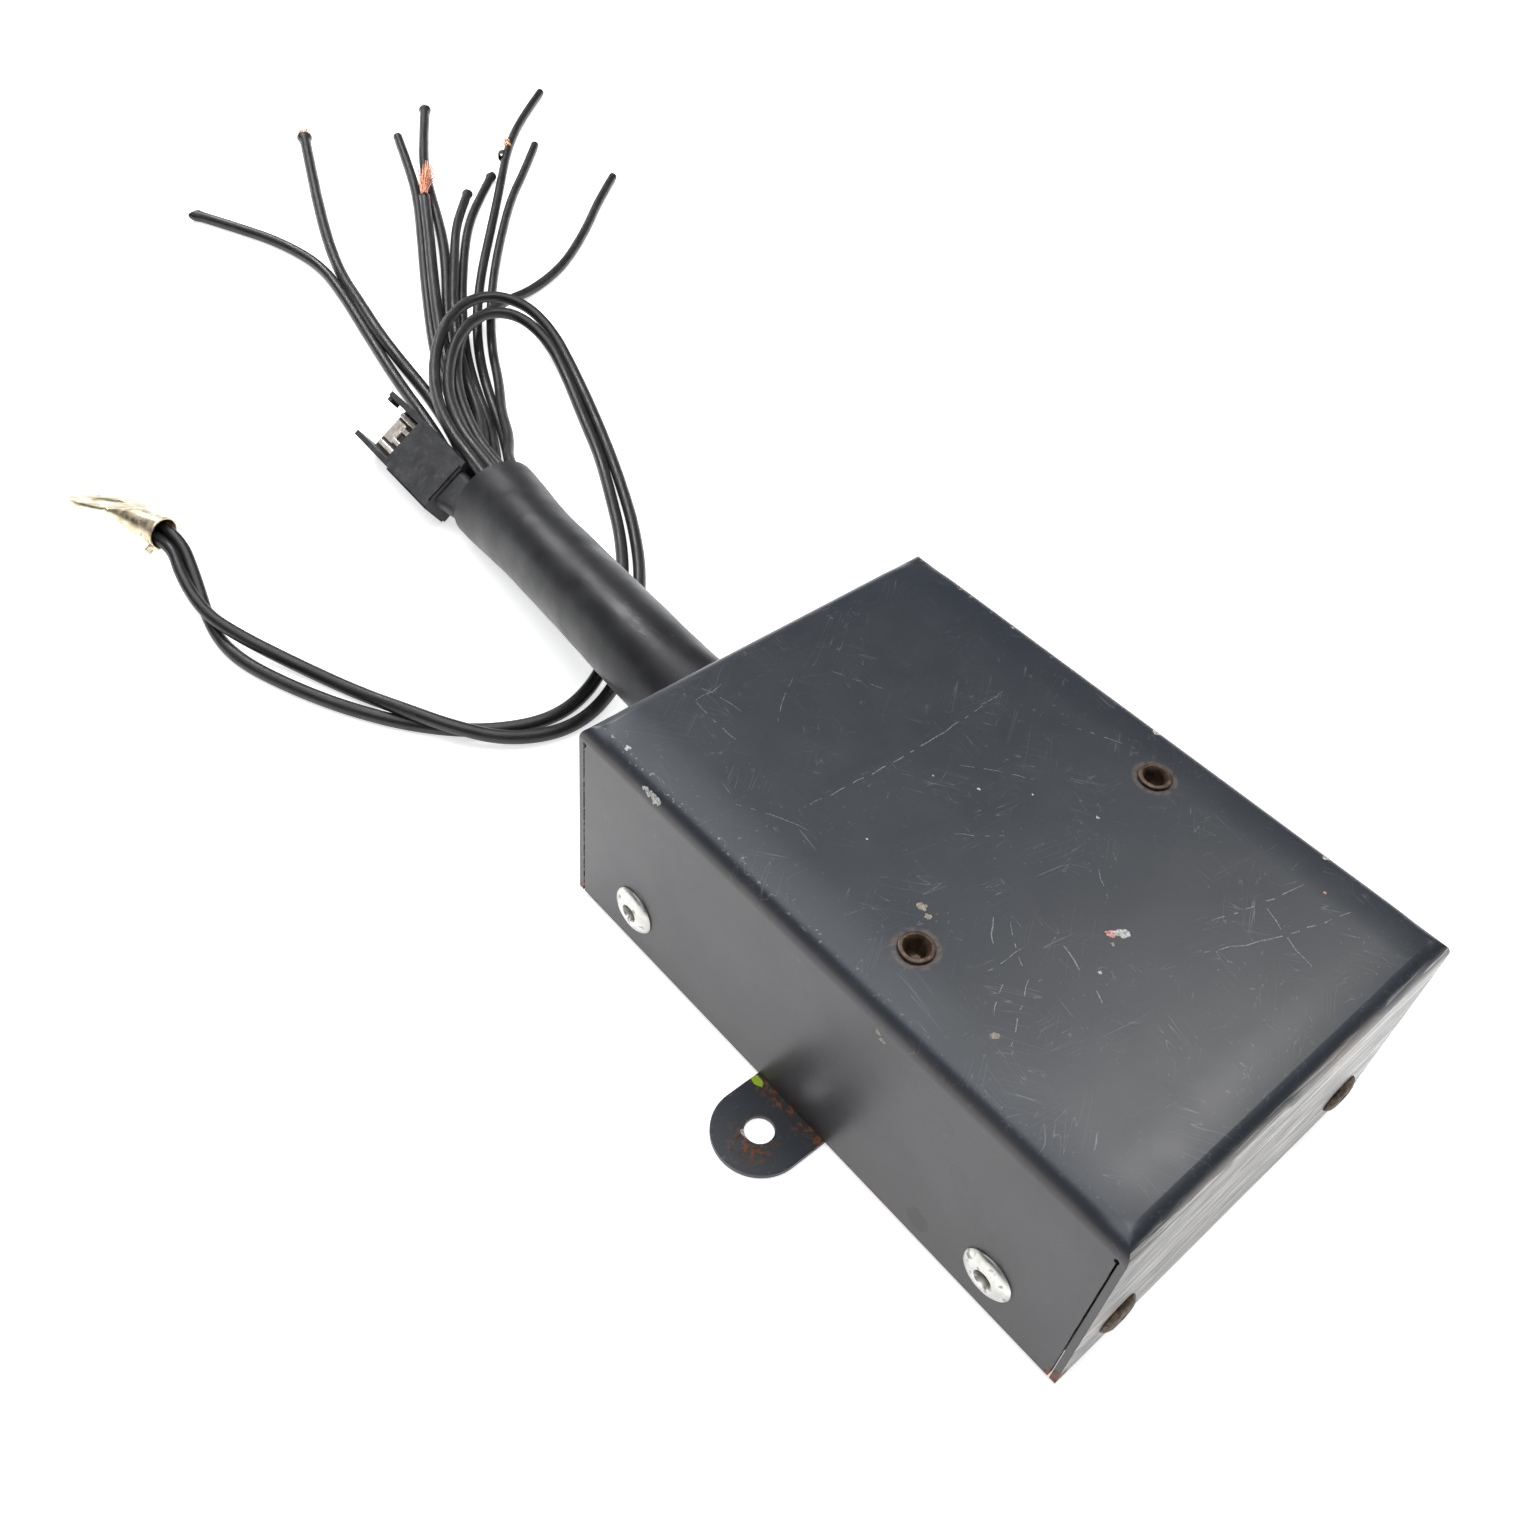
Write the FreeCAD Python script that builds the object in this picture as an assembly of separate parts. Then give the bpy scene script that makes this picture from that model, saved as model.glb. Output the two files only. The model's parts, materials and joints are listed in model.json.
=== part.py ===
"""Portable power distribution box: a riveted sheet-steel case with bolt-down ears,
a rubber-sleeved harness of cut wires, a small keyed connector and a ring terminal.

Millimetres, +Z up. The origin is the centre of the case's underside.
The long sides face -X and +X, and the harness leaves through the +Y end.
"""
import FreeCAD, Part
import math
import os
from FreeCAD import Vector

os.makedirs("parts", exist_ok=True)

# ---- driving dimensions -------------------------------------------------
CASE_X = 82.0
CASE_Y = 120.0
CASE_Z = 45.6
SHEET = 1.2
BEND_R = 3.0
FIT = 0.2              # gap between the base tray and the cover
SEAM = 0.35            # open seam beside each end flange

EAR_HOLE_X = 48.0
EAR_HOLE_R = 2.65
EAR_R = 8.4
TRAY_Z = 15.0
TRAY_BEND_R = 2.4

RIVET_Z = 10.8
RIVET_HEAD_R = 4.75
END_HEAD_R = 3.9
RIVET_SHANK_R = 2.4
SIDE_RIVET_Y = 43.5
END_RIVET_X = 30.0
TOP_RIVET_X = 29.0
TOP_RIVET_Y = -8.2
TOP_RIVET_SHANK_R = 1.9

BOARD_X = 64.0
BOARD_Y = 98.0
BOARD_Z = 7.2
BOARD_T = 1.6
BOARD_HOLE = (28.0, 38.0)
BOARD_TOP = BOARD_Z + BOARD_T

RELAY_X = 15.5
RELAY_Y = -33.0

SLEEVE_R = 9.5
SLEEVE_WALL = 1.4
SLEEVE_START = Vector(-8.5, 44.0, 25.0)
SLEEVE_BEND = Vector(-8.5, 74.0, 25.0)
SLEEVE_MOUTH = Vector(7.5, 159.0, 9.2)
SLEEVE_ROLL = math.radians(28.0)
SLEEVE_HOLE_R = 9.8
FLAT_LENGTH = 30.0     # stretch at the mouth over which the sleeve flattens
FLAT_WIDER = 1.3
FLAT_THINNER = 1.2

WIRE_D = 2.7
LOW = WIRE_D / 2       # centre height of a wire that lies on the floor
HIGH = 3.75            # centre height of a wire that lies in the groove of two others
SPLIT = 18.0           # how far inside the mouth the loose wires begin
ARC_SHARE = 0.45

CABLE_D = 4.8
CABLE_SLOT = (-4.35, -0.8)
BOOT_INSIDE = 4.5

SOCKET_REAR = Vector(2.3, 168.2, 7.9)
SOCKET_FORWARD = Vector(0.05, 0.9987, 0.0)
SOCKET_ROLL = math.radians(36.0)
SOCKET_WIDTH = 14.0
SOCKET_HEIGHT = 8.0
SOCKET_LENGTH = 34.5
SOCKET_WALL = 1.3

LUG_MOUTH = Vector(-58.6, 190.4, 8.5)
LUG_AXIS = Vector(-0.302, 0.953, -0.007)
LUG_BESIDE = Vector(0.892, 0.286, 0.35)
LUG_NECK = Vector(-62.8, 203.7, 8.4)
LUG_BARREL_LENGTH = 9.0
LUG_BARREL_R = 3.65
LUG_BARREL_BORE_R = 2.95
LUG_T = 1.0
RING_CENTRE = Vector(-62.4, 212.0, 5.2)
RING_NORMAL = Vector(0.39, 0.315, 0.865)
RING_R = 8.2
RING_HOLE_R = 3.4

X_AXIS = Vector(1, 0, 0)
Y_AXIS = Vector(0, 1, 0)
Z_AXIS = Vector(0, 0, 1)


# ---- helpers ------------------------------------------------------------
def save(name, *solids):
    """Write one node, alone or as a group of separate solids."""
    shape = solids[0] if len(solids) == 1 else Part.makeCompound(list(solids))
    shape.exportStep("parts/" + name + ".step")
    print("%-24s solids %2d  volume %9.1f  valid %s"
          % (name, len(shape.Solids), shape.Volume, shape.isValid()))


def block(x0, x1, y0, y1, z0, z1):
    return Part.makeBox(x1 - x0, y1 - y0, z1 - z0, Vector(x0, y0, z0))


def rod(radius, length, start, axis=Z_AXIS):
    return Part.makeCylinder(radius, length, start, axis)


def placed(shape, origin, x_axis, y_axis, z_axis):
    """Put a shape that was drawn about the origin into a frame of its own."""
    matrix = FreeCAD.Matrix(
        x_axis.x, y_axis.x, z_axis.x, origin.x,
        x_axis.y, y_axis.y, z_axis.y, origin.y,
        x_axis.z, y_axis.z, z_axis.z, origin.z,
        0, 0, 0, 1)
    moved = shape.copy()
    moved.Placement = FreeCAD.Placement(matrix).multiply(moved.Placement)
    return moved


def unit(vector):
    length = vector.Length
    return Vector(vector.x / length, vector.y / length, vector.z / length)


def edges_on(shape, keep):
    """Edges whose middle point passes the test."""
    return [edge for edge in shape.Edges if keep(edge.CenterOfMass)]


def fused(shapes):
    return shapes[0].multiFuse(shapes[1:]).removeSplitter()


# ---- sleeve frame: positions across and along the sleeve -----------------
SLEEVE_AXIS = unit(SLEEVE_MOUTH - SLEEVE_BEND)
LEVEL = unit(Vector(SLEEVE_AXIS.y, -SLEEVE_AXIS.x, 0))
UPWARD = LEVEL.cross(SLEEVE_AXIS)
ACROSS = LEVEL * math.cos(SLEEVE_ROLL) + UPWARD * math.sin(SLEEVE_ROLL)
ABOVE = UPWARD * math.cos(SLEEVE_ROLL) - LEVEL * math.sin(SLEEVE_ROLL)
MOUTH_TO_BEND = (SLEEVE_MOUTH - SLEEVE_BEND).Length


def in_sleeve(across, above, along):
    """A point beside the sleeve's axis; along is counted from the mouth, outwards."""
    return SLEEVE_MOUTH + ACROSS * across + ABOVE * above + SLEEVE_AXIS * along


# ---- case ---------------------------------------------------------------
def make_cover():
    """Folded five-sided pan: end flanges cover the ends of the side flanges."""
    half_x, half_y = CASE_X / 2, CASE_Y / 2
    outer = block(-half_x, half_x, -half_y, half_y, SHEET, CASE_Z)
    outer = outer.makeFillet(BEND_R, edges_on(outer, lambda p: p.z > CASE_Z - 0.01))
    inner_top = CASE_Z - SHEET
    inner = block(SHEET - half_x, half_x - SHEET, SHEET - half_y, half_y - SHEET, 0, inner_top)
    inner = inner.makeFillet(BEND_R - SHEET, edges_on(inner, lambda p: p.z > inner_top - 0.01))
    pan = outer.cut(inner)
    seam_top = CASE_Z - BEND_R - 0.6
    tools = []
    for side in (-1, 1):
        for end in (-1, 1):
            x0, x1 = sorted((side * (half_x - SHEET - 0.5), side * (half_x + 1)))
            y_out = end * (half_y - SHEET)
            y_in = y_out - end * SEAM
            y0, y1 = sorted((y_in, y_out))
            tools.append(block(x0, x1, y0, y1, 0, seam_top))
            tools.append(rod(0.5, SHEET * 3, Vector(side * (half_x - 2.5), y_in, seam_top), X_AXIS * side))
    for side in (-1, 1):
        for y in (-SIDE_RIVET_Y, SIDE_RIVET_Y):
            tools.append(rod(RIVET_SHANK_R, 6, Vector(side * (half_x - 4), y, RIVET_Z), X_AXIS * side))
        for x in (-END_RIVET_X, END_RIVET_X):
            tools.append(rod(RIVET_SHANK_R, 6, Vector(x, side * (half_y - 4), RIVET_Z), Y_AXIS * side))
        tools.append(rod(TOP_RIVET_SHANK_R, 6, Vector(side * TOP_RIVET_X, TOP_RIVET_Y, CASE_Z - 4)))
    tools.append(rod(SLEEVE_HOLE_R, 6, Vector(SLEEVE_START.x, half_y - 4, SLEEVE_START.z), Y_AXIS))
    return pan.cut(tools)


def make_base_plate():
    """Shallow tray inside the cover, with two ears that pass out under its side walls."""
    half_x = CASE_X / 2 - SHEET - FIT
    half_y = CASE_Y / 2 - SHEET - FIT
    outer = block(-half_x, half_x, -half_y, half_y, 0, TRAY_Z)
    outer = outer.makeFillet(TRAY_BEND_R, edges_on(outer, lambda p: p.z < 0.01))
    inner = block(SHEET - half_x, half_x - SHEET, SHEET - half_y, half_y - SHEET, SHEET, TRAY_Z + 1)
    inner = inner.makeFillet(TRAY_BEND_R - SHEET, edges_on(inner, lambda p: p.z < SHEET + 0.01))
    tray = outer.cut(inner)
    relief = 4.0
    ear_gap = EAR_R + 1.6
    tools = []
    for side in (-1, 1):
        for end in (-1, 1):
            x0, x1 = sorted((side * (half_x - relief), side * (half_x + 1)))
            y0, y1 = sorted((end * (half_y - relief), end * (half_y + 1)))
            tools.append(block(x0, x1, y0, y1, -1, TRAY_Z + 1))
        x0, x1 = sorted((side * (half_x - relief), side * (half_x + 1)))
        tools.append(block(x0, x1, -ear_gap, ear_gap, -1, TRAY_Z + 1))
    tray = tray.cut(tools)
    pieces = [tray]
    for side in (-1, 1):
        x0, x1 = sorted((side * (half_x - relief - 1), side * EAR_HOLE_X))
        pieces.append(block(x0, x1, -EAR_R, EAR_R, 0, SHEET))
        pieces.append(rod(EAR_R, SHEET, Vector(side * EAR_HOLE_X, 0, 0)))
    plate = fused(pieces)
    holes = []
    for side in (-1, 1):
        holes.append(rod(EAR_HOLE_R, 4, Vector(side * EAR_HOLE_X, 0, -1)))
        for y in (-SIDE_RIVET_Y, SIDE_RIVET_Y):
            holes.append(rod(RIVET_SHANK_R, 6, Vector(side * (half_x - 4), y, RIVET_Z), X_AXIS * side))
        for x in (-END_RIVET_X, END_RIVET_X):
            holes.append(rod(RIVET_SHANK_R, 6, Vector(x, side * (half_y - 4), RIVET_Z), Y_AXIS * side))
    return plate.cut(holes)


def make_rivet(seat, outward, grip, head_r, shank_r, head_h, hole_r, through=False):
    """Blind rivet: domed head on the outside, swollen tail inside, a hole in the head."""
    tail = 4.0
    tail_r = shank_r * 1.45
    profile = [
        Vector(0, 0, -grip - tail), Vector(tail_r * 0.7, 0, -grip - tail),
        Vector(tail_r, 0, -grip - tail * 0.6), Vector(tail_r, 0, -grip), Vector(shank_r, 0, -grip),
        Vector(shank_r, 0, 0), Vector(head_r, 0, 0), Vector(head_r, 0, head_h * 0.25)]
    edges = [Part.makeLine(a, b) for a, b in zip(profile, profile[1:])]
    crown = Vector(head_r * 0.62, 0, head_h * 0.86)
    top = Vector(0, 0, head_h)
    edges.append(Part.Arc(profile[-1], crown, top).toShape())
    edges.append(Part.makeLine(top, profile[0]))
    face = Part.Face(Part.Wire(edges))
    rivet = face.revolve(Vector(0, 0, 0), Z_AXIS, 360)
    hole_depth = head_h + grip + tail + 1 if through else head_h * 0.9 + 0.6
    rivet = rivet.cut(rod(hole_r, hole_depth + 1, Vector(0, 0, head_h + 1 - hole_depth)))
    rivet.Placement = FreeCAD.Placement(seat, FreeCAD.Rotation(Z_AXIS, outward))
    return rivet


def make_case_rivets():
    """Side, end and top rivets; the cover, the gap and the tray make up the grip."""
    grip = SHEET + FIT + SHEET
    sides, ends, tops = [], [], []
    for side in (-1, 1):
        for along in (-1, 1):
            seat = Vector(side * CASE_X / 2, along * SIDE_RIVET_Y, RIVET_Z)
            sides.append(make_rivet(seat, X_AXIS * side, grip, RIVET_HEAD_R, RIVET_SHANK_R, 1.6, 1.5))
            seat = Vector(along * END_RIVET_X, side * CASE_Y / 2, RIVET_Z)
            ends.append(make_rivet(seat, Y_AXIS * side, grip, END_HEAD_R, RIVET_SHANK_R, 1.2, 1.1))
        seat = Vector(side * TOP_RIVET_X, TOP_RIVET_Y, CASE_Z)
        tops.append(make_rivet(seat, Z_AXIS, 2 * SHEET, 3.0, TOP_RIVET_SHANK_R, 0.7, 1.45, through=True))
    return sides, ends, tops


# ---- parts inside the case ----------------------------------------------
BRACKET_LEG_X = 23.0
BRACKET_WEB_Z = 33.0
BRACKET_HALF_Y = 8.0
BREAKER_X = 11.0


def make_breaker_bracket():
    """Hat bracket under the roof, held by the two top rivets."""
    roof = CASE_Z - SHEET
    y0, y1 = TOP_RIVET_Y - BRACKET_HALF_Y, TOP_RIVET_Y + BRACKET_HALF_Y
    pieces = [block(-BRACKET_LEG_X, BRACKET_LEG_X, y0, y1, BRACKET_WEB_Z, BRACKET_WEB_Z + SHEET)]
    for side in (-1, 1):
        leg = sorted((side * (BRACKET_LEG_X - SHEET), side * BRACKET_LEG_X))
        foot = sorted((side * (BRACKET_LEG_X - SHEET), side * (TOP_RIVET_X + 5.5)))
        pieces.append(block(leg[0], leg[1], y0, y1, BRACKET_WEB_Z, roof))
        pieces.append(block(foot[0], foot[1], y0, y1, roof - SHEET, roof))
    bracket = fused(pieces)
    holes = []
    for side in (-1, 1):
        holes.append(rod(TOP_RIVET_SHANK_R, 4, Vector(side * TOP_RIVET_X, TOP_RIVET_Y, roof - 3)))
        for stud in (-1, 1):
            centre = Vector(side * BREAKER_X + stud * 6.5, TOP_RIVET_Y, BRACKET_WEB_Z - 1)
            holes.append(rod(2.2, 4, centre))
    return bracket.cut(holes)


def make_breakers():
    """Two automatic-reset breakers hung under the bracket on their studs, and the stud nuts."""
    cases, nuts = [], []
    for side in (-1, 1):
        x = side * BREAKER_X
        case = block(x - 10.5, x + 10.5, TOP_RIVET_Y - 6.5, TOP_RIVET_Y + 6.5, 19.0, BRACKET_WEB_Z)
        case = case.makeFillet(1.2, edges_on(case, lambda p: p.z < 32.0))
        studs = [rod(2.0, 6.5, Vector(x + stud * 6.5, TOP_RIVET_Y, BRACKET_WEB_Z - 1)) for stud in (-1, 1)]
        cases.append(fused([case] + studs))
        for stud in (-1, 1):
            centre = Vector(x + stud * 6.5, TOP_RIVET_Y, BRACKET_WEB_Z + SHEET)
            ring = [centre + Vector(4.0 * math.cos(k * math.pi / 3), 4.0 * math.sin(k * math.pi / 3), 0)
                    for k in range(7)]
            nut = Part.Face(Part.makePolygon(ring)).extrude(Vector(0, 0, 2.6))
            nuts.append(nut.cut(rod(2.0, 4, centre - Z_AXIS)))
    return cases, nuts


def make_board():
    """Circuit board on four standoffs, with the screws that hold it."""
    board = block(-BOARD_X / 2, BOARD_X / 2, -BOARD_Y / 2, BOARD_Y / 2, BOARD_Z, BOARD_TOP)
    standoffs, screws, holes = [], [], []
    for sx in (-1, 1):
        for sy in (-1, 1):
            x, y = sx * BOARD_HOLE[0], sy * BOARD_HOLE[1]
            post = rod(3.0, BOARD_Z - SHEET, Vector(x, y, SHEET))
            standoffs.append(post.cut(rod(1.5, 5, Vector(x, y, BOARD_Z - 4))))
            holes.append(rod(1.5, 3, Vector(x, y, BOARD_Z - 0.5)))
            shank = rod(1.5, 5.2, Vector(x, y, BOARD_TOP - 5.2))
            screws.append(fused([shank, rod(2.8, 1.8, Vector(x, y, BOARD_TOP))]))
    return board.cut(holes), standoffs, screws


TERMINALS = 12
TERMINAL_PITCH = 4.4
TERMINAL_Y = (6.0, 15.0)
TERMINAL_Z = (BOARD_TOP, 17.8)
TERMINAL_HOLE_Z = 13.3


def terminal_x(index):
    return SLEEVE_START.x + 8.0 + (index - (TERMINALS - 1) / 2) * TERMINAL_PITCH


def make_terminals():
    """Row of screw terminals that takes the inner ends of the wires."""
    half = TERMINALS * TERMINAL_PITCH / 2
    middle = (terminal_x(0) + terminal_x(TERMINALS - 1)) / 2
    body = block(middle - half, middle + half, TERMINAL_Y[0], TERMINAL_Y[1], TERMINAL_Z[0], TERMINAL_Z[1])
    holes, screws = [], []
    for index in range(TERMINALS):
        x = terminal_x(index)
        y = (TERMINAL_Y[0] + TERMINAL_Y[1]) / 2
        holes.append(rod(WIRE_D / 2, 5, Vector(x, TERMINAL_Y[1] - 4, TERMINAL_HOLE_Z), Y_AXIS))
        holes.append(rod(1.6, 3, Vector(x, y - 1, TERMINAL_Z[1] - 2)))
        screws.append(rod(1.5, 1.6, Vector(x, y - 1, TERMINAL_Z[1] - 2)))
    return body.cut(holes), screws


def make_relay(cx, cy):
    """Open-frame relay: the armature hinges on the yoke's top edge and closes on the core."""
    z = BOARD_TOP
    base = block(cx - 9, cx + 9, cy - 11.5, cy + 11.5, z, z + 3)
    yoke = fused([
        block(cx - 6, cx + 6, cy - 7, cy + 10, z + 3, z + 4.5),
        block(cx - 6, cx + 6, cy + 8.5, cy + 10, z + 3, z + 19.2)])
    bobbin = fused([
        rod(6.6, 1.0, Vector(cx, cy, z + 4.5)), rod(3.6, 12.8, Vector(cx, cy, z + 4.5)),
        rod(6.6, 1.0, Vector(cx, cy, z + 16.3))]).cut(rod(2.5, 14, Vector(cx, cy, z + 4)))
    winding = rod(6.2, 10.8, Vector(cx, cy, z + 5.5)).cut(rod(3.6, 12, Vector(cx, cy, z + 5)))
    core = fused([rod(2.5, 12.8, Vector(cx, cy, z + 4.5)), rod(4.2, 0.9, Vector(cx, cy, z + 17.3))])
    spring = fused([
        block(cx - 3, cx + 3, cy + 10, cy + 10.4, z + 9, z + 21.4),
        block(cx - 3, cx + 3, cy + 5.5, cy + 10.4, z + 21.0, z + 21.4)])
    fixed = fused([
        block(cx - 1.6, cx + 1.6, cy - 11, cy - 10, z + 3, z + 16.3),
        block(cx - 1.6, cx + 1.6, cy - 11, cy - 6.8, z + 15.3, z + 16.3),
        rod(1.4, 0.5, Vector(cx, cy - 8.4, z + 16.3))])
    armature = block(cx - 5.5, cx + 5.5, cy - 10, cy + 9.6, z + 19.5, z + 20.5)
    contact = rod(1.4, 0.8, Vector(cx, cy - 8.4, z + 18.7))
    return base, yoke, bobbin, winding, core, spring, fixed, armature, contact


# ---- sleeve -------------------------------------------------------------
def sleeve_section(centre, across, above, half_width, half_height):
    """Closed oval edge, wider along across; a circle is the same curve with equal halves."""
    if half_width - half_height < 1e-6:
        circle = Part.Circle(centre, across.cross(above), half_width)
        return Part.Wire(circle.toShape())
    oval = Part.Ellipse(centre + across * half_width, centre + above * half_height, centre)
    return Part.Wire(oval.toShape())


def flattening(distance):
    """Share of the full flattening at a distance inside the mouth, easing in smoothly."""
    share = max(0.0, 1.0 - distance / FLAT_LENGTH)
    return share * share * (3 - 2 * share)


def bent_tube(points, radius):
    """Round bar along straight runs joined by arcs that touch both runs."""
    edges = []
    radii = []
    start = points[0]
    for before, corner, after in zip(points, points[1:], points[2:]):
        back, onward = unit(before - corner), unit(after - corner)
        turn = math.pi - back.getAngle(onward)
        shorter = min((before - corner).Length, (after - corner).Length)
        cut = ARC_SHARE * shorter
        bend = cut / math.tan(turn / 2)
        entry, leave = corner + back * cut, corner + onward * cut
        inward = unit(back + onward)
        middle = corner + inward * (bend / math.cos(turn / 2) - bend)
        edges.append(Part.LineSegment(start, entry).toShape())
        edges.append(Part.Arc(entry, middle, leave).toShape())
        radii.append(bend)
        start = leave
    edges.append(Part.LineSegment(start, points[-1]).toShape())
    path = Part.Wire(edges)
    section = Part.Wire(Part.Circle(points[0], points[1] - points[0], radius).toShape())
    tube = path.makePipeShell([section], True, False)
    return tube, path.Length, radii


def make_sleeve():
    """Rubber tube, round where it leaves the case and pressed oval at its mouth."""
    round_end = in_sleeve(0, 0, -FLAT_LENGTH)
    points = [SLEEVE_START, SLEEVE_BEND, round_end]
    outer, _, _ = bent_tube(points, SLEEVE_R)
    inner, _, _ = bent_tube(points, SLEEVE_R - SLEEVE_WALL)
    steps = [FLAT_LENGTH - 5.0 * k for k in range(7)]
    walls = []
    for wall in (0.0, SLEEVE_WALL):
        rings = []
        for distance in steps:
            share = flattening(distance)
            rings.append(sleeve_section(
                in_sleeve(0, 0, -distance), ACROSS, ABOVE,
                SLEEVE_R + FLAT_WIDER * share - wall, SLEEVE_R - FLAT_THINNER * share - wall))
        spans = [Part.makeLoft([a, b], True, True) for a, b in zip(rings, rings[1:])]
        walls.append(spans)
    flat = [out.cut(hollow) for out, hollow in zip(walls[0], walls[1])]
    return outer.cut(inner).multiFuse(flat)


# ---- wires: hand-chosen routes over the floor ----------------------------
SLOTS = {
    "ground_wire_a": (0.2, 5.3), "ground_wire_b": (3.0, 5.0), "wire_10": (5.3, 3.5),
    "wire_9": (7.1, 1.4), "wire_8": (7.2, -1.4), "wire_4": (5.6, -3.6), "wire_3": (3.2, -4.9),
    "wire_1": (0.4, -5.4), "wire_2": (1.0, -2.7), "wire_5": (3.6, -1.75), "wire_7": (4.3, 0.9),
    "wire_6": (1.6, 2.6)}
PAST_MOUTH = {
    "wire_9": 5.0, "wire_8": 6.0, "wire_5": 7.0, "wire_4": 7.0,
    "wire_2": 9.0, "wire_3": 8.0, "wire_1": 8.0}
ROUTES = {
    "wire_1": [
        (12.6, 185, 1.5), (17.2, 203, LOW), (20.8, 224, LOW), (26, 247, LOW), (31.5, 270, LOW),
        (34.5, 288, LOW), (31.5, 305, LOW), (25.5, 319, LOW), (19, 332, LOW)],
    "wire_2": [
        (15.6, 185, 2.7), (20.8, 200, LOW), (24.2, 215, LOW), (25.8, 230, 2.2), (28, 245.5, 2.9),
        (32, 262, 2.6), (36.2, 279, LOW), (42.4, 297, LOW), (51.6, 319, LOW), (61.5, 341, LOW),
        (71, 362, LOW)],
    "wire_3": [
        (18.4, 184, 1.9), (24.4, 199, LOW), (29.6, 215, LOW), (36.4, 231, LOW), (46, 249, LOW),
        (57.8, 270, LOW), (70.5, 292, LOW), (81.5, 312, LOW), (89.5, 330, LOW), (97, 348, LOW)],
    "wire_4": [
        (21.4, 183, 2.2), (27.9, 198, LOW), (33.2, 213, LOW), (40.4, 229, LOW), (50.6, 247, LOW),
        (63.4, 267, LOW), (74.5, 287, LOW), (83.7, 307, LOW), (92.4, 325, LOW), (103.6, 343, LOW),
        (115.5, 361, LOW)],
    "wire_5": [
        (17.6, 183, 4.4), (24.6, 198, 4.2), (30.4, 213, HIGH), (37.6, 228.5, HIGH),
        (46.8, 246, HIGH), (58.6, 267, HIGH), (69.6, 286, HIGH), (79, 303, 4.2)],
    "wire_6": [
        (10.0, 167, 10.8), (19.8, 182, 7.6), (28.2, 197, 4.6), (34.2, 212, HIGH), (41.8, 228, HIGH),
        (51.8, 245.5, HIGH), (64.2, 264, HIGH), (75.6, 281, HIGH), (85, 292, 3.6), (93, 301, 2.6)],
    "wire_7": [
        (12.9, 166, 10.4), (22.6, 182, 5.0), (30.4, 196.5, LOW), (36.2, 211.5, LOW),
        (43.8, 227.5, LOW), (54.2, 245, LOW), (67.6, 265, LOW), (82, 284.5, LOW), (94.5, 297.5, LOW),
        (107, 309, LOW)],
    "wire_8": [
        (25.2, 180.5, 4.4), (32.6, 195, LOW), (38.8, 210, LOW), (46.6, 225.5, LOW),
        (57.4, 242.5, LOW), (71, 260.5, LOW), (87, 279.5, LOW), (104.5, 300.5, LOW),
        (122, 322, LOW), (139, 339, LOW), (158, 354, LOW)],
    "wire_9": [
        (25.6, 179.5, 8.0), (32.8, 194, 4.4), (42.2, 209, 1.8), (50, 224, LOW), (60.6, 240.5, LOW),
        (74, 258.5, LOW), (89, 276.5, LOW), (104.5, 294, LOW), (119, 307.5, LOW), (132.5, 321, LOW)],
    "wire_10": [
        (13.2, 168, 12.9), (16.4, 181, 11.8), (24.8, 201, 9.6), (34.8, 217.5, 7.0),
        (44.5, 229, 6.8), (55, 235.5, 4.6), (66, 240.8, 3.2), (76, 244, LOW), (87, 248, LOW),
        (97.5, 254, LOW), (113, 266, LOW), (127.5, 279, LOW), (141, 289.5, LOW)],
    "ground_wire_a": [
        (7.9, 168, 14.6), (10.4, 182, 14.0), (18.4, 202, 11.2), (31.5, 222, 10), (45.5, 234.8, 9.8),
        (57.5, 237.6, 9.4), (65.6, 231, 7.6), (66.6, 219, 4.6), (62.2, 203.5, 2.2), (56.4, 188, LOW),
        (49.6, 172, LOW), (42.2, 156, LOW), (34, 140, LOW), (24, 124.5, LOW), (10.5, 109.5, LOW),
        (-4, 98, LOW), (-18, 94, LOW), (-30.5, 98.5, 2.2), (-38.5, 106.5, 4.2), (-43.5, 116.5, 4.0),
        (-47.5, 129, LOW), (-53.4, 143, 1.8), (-59.6, 156.6, 3.6), (-62.3, 166.2, 4.7),
        (-61.6, 177, 6.9)],
    "ground_wire_b": [
        (10.6, 168, 14.2), (13.2, 182, 13.6), (21.6, 201, 11), (33, 217, 9.8), (43.5, 226.5, 9.6),
        (53.5, 230, 9.2), (61.4, 226.2, 7.2), (62.8, 214.6, 4.2), (58, 199.5, 1.8), (51.4, 184, LOW),
        (45, 168.5, LOW), (37, 153.3, LOW), (28.8, 138.3, LOW), (18.8, 124.5, LOW), (6.8, 112, LOW),
        (-6, 102, LOW), (-19, 98.5, LOW), (-32, 103.5, LOW), (-43, 113.5, LOW), (-51.5, 126, LOW),
        (-58, 139.5, LOW), (-62.4, 152.5, LOW), (-62.3, 164, LOW), (-58.8, 176.4, 5.2)]}
LUG_SIDE = {"ground_wire_a": -1, "ground_wire_b": 1}
LUG_LEAD = 3.5
LUG_DEPTH = 4.0


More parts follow.
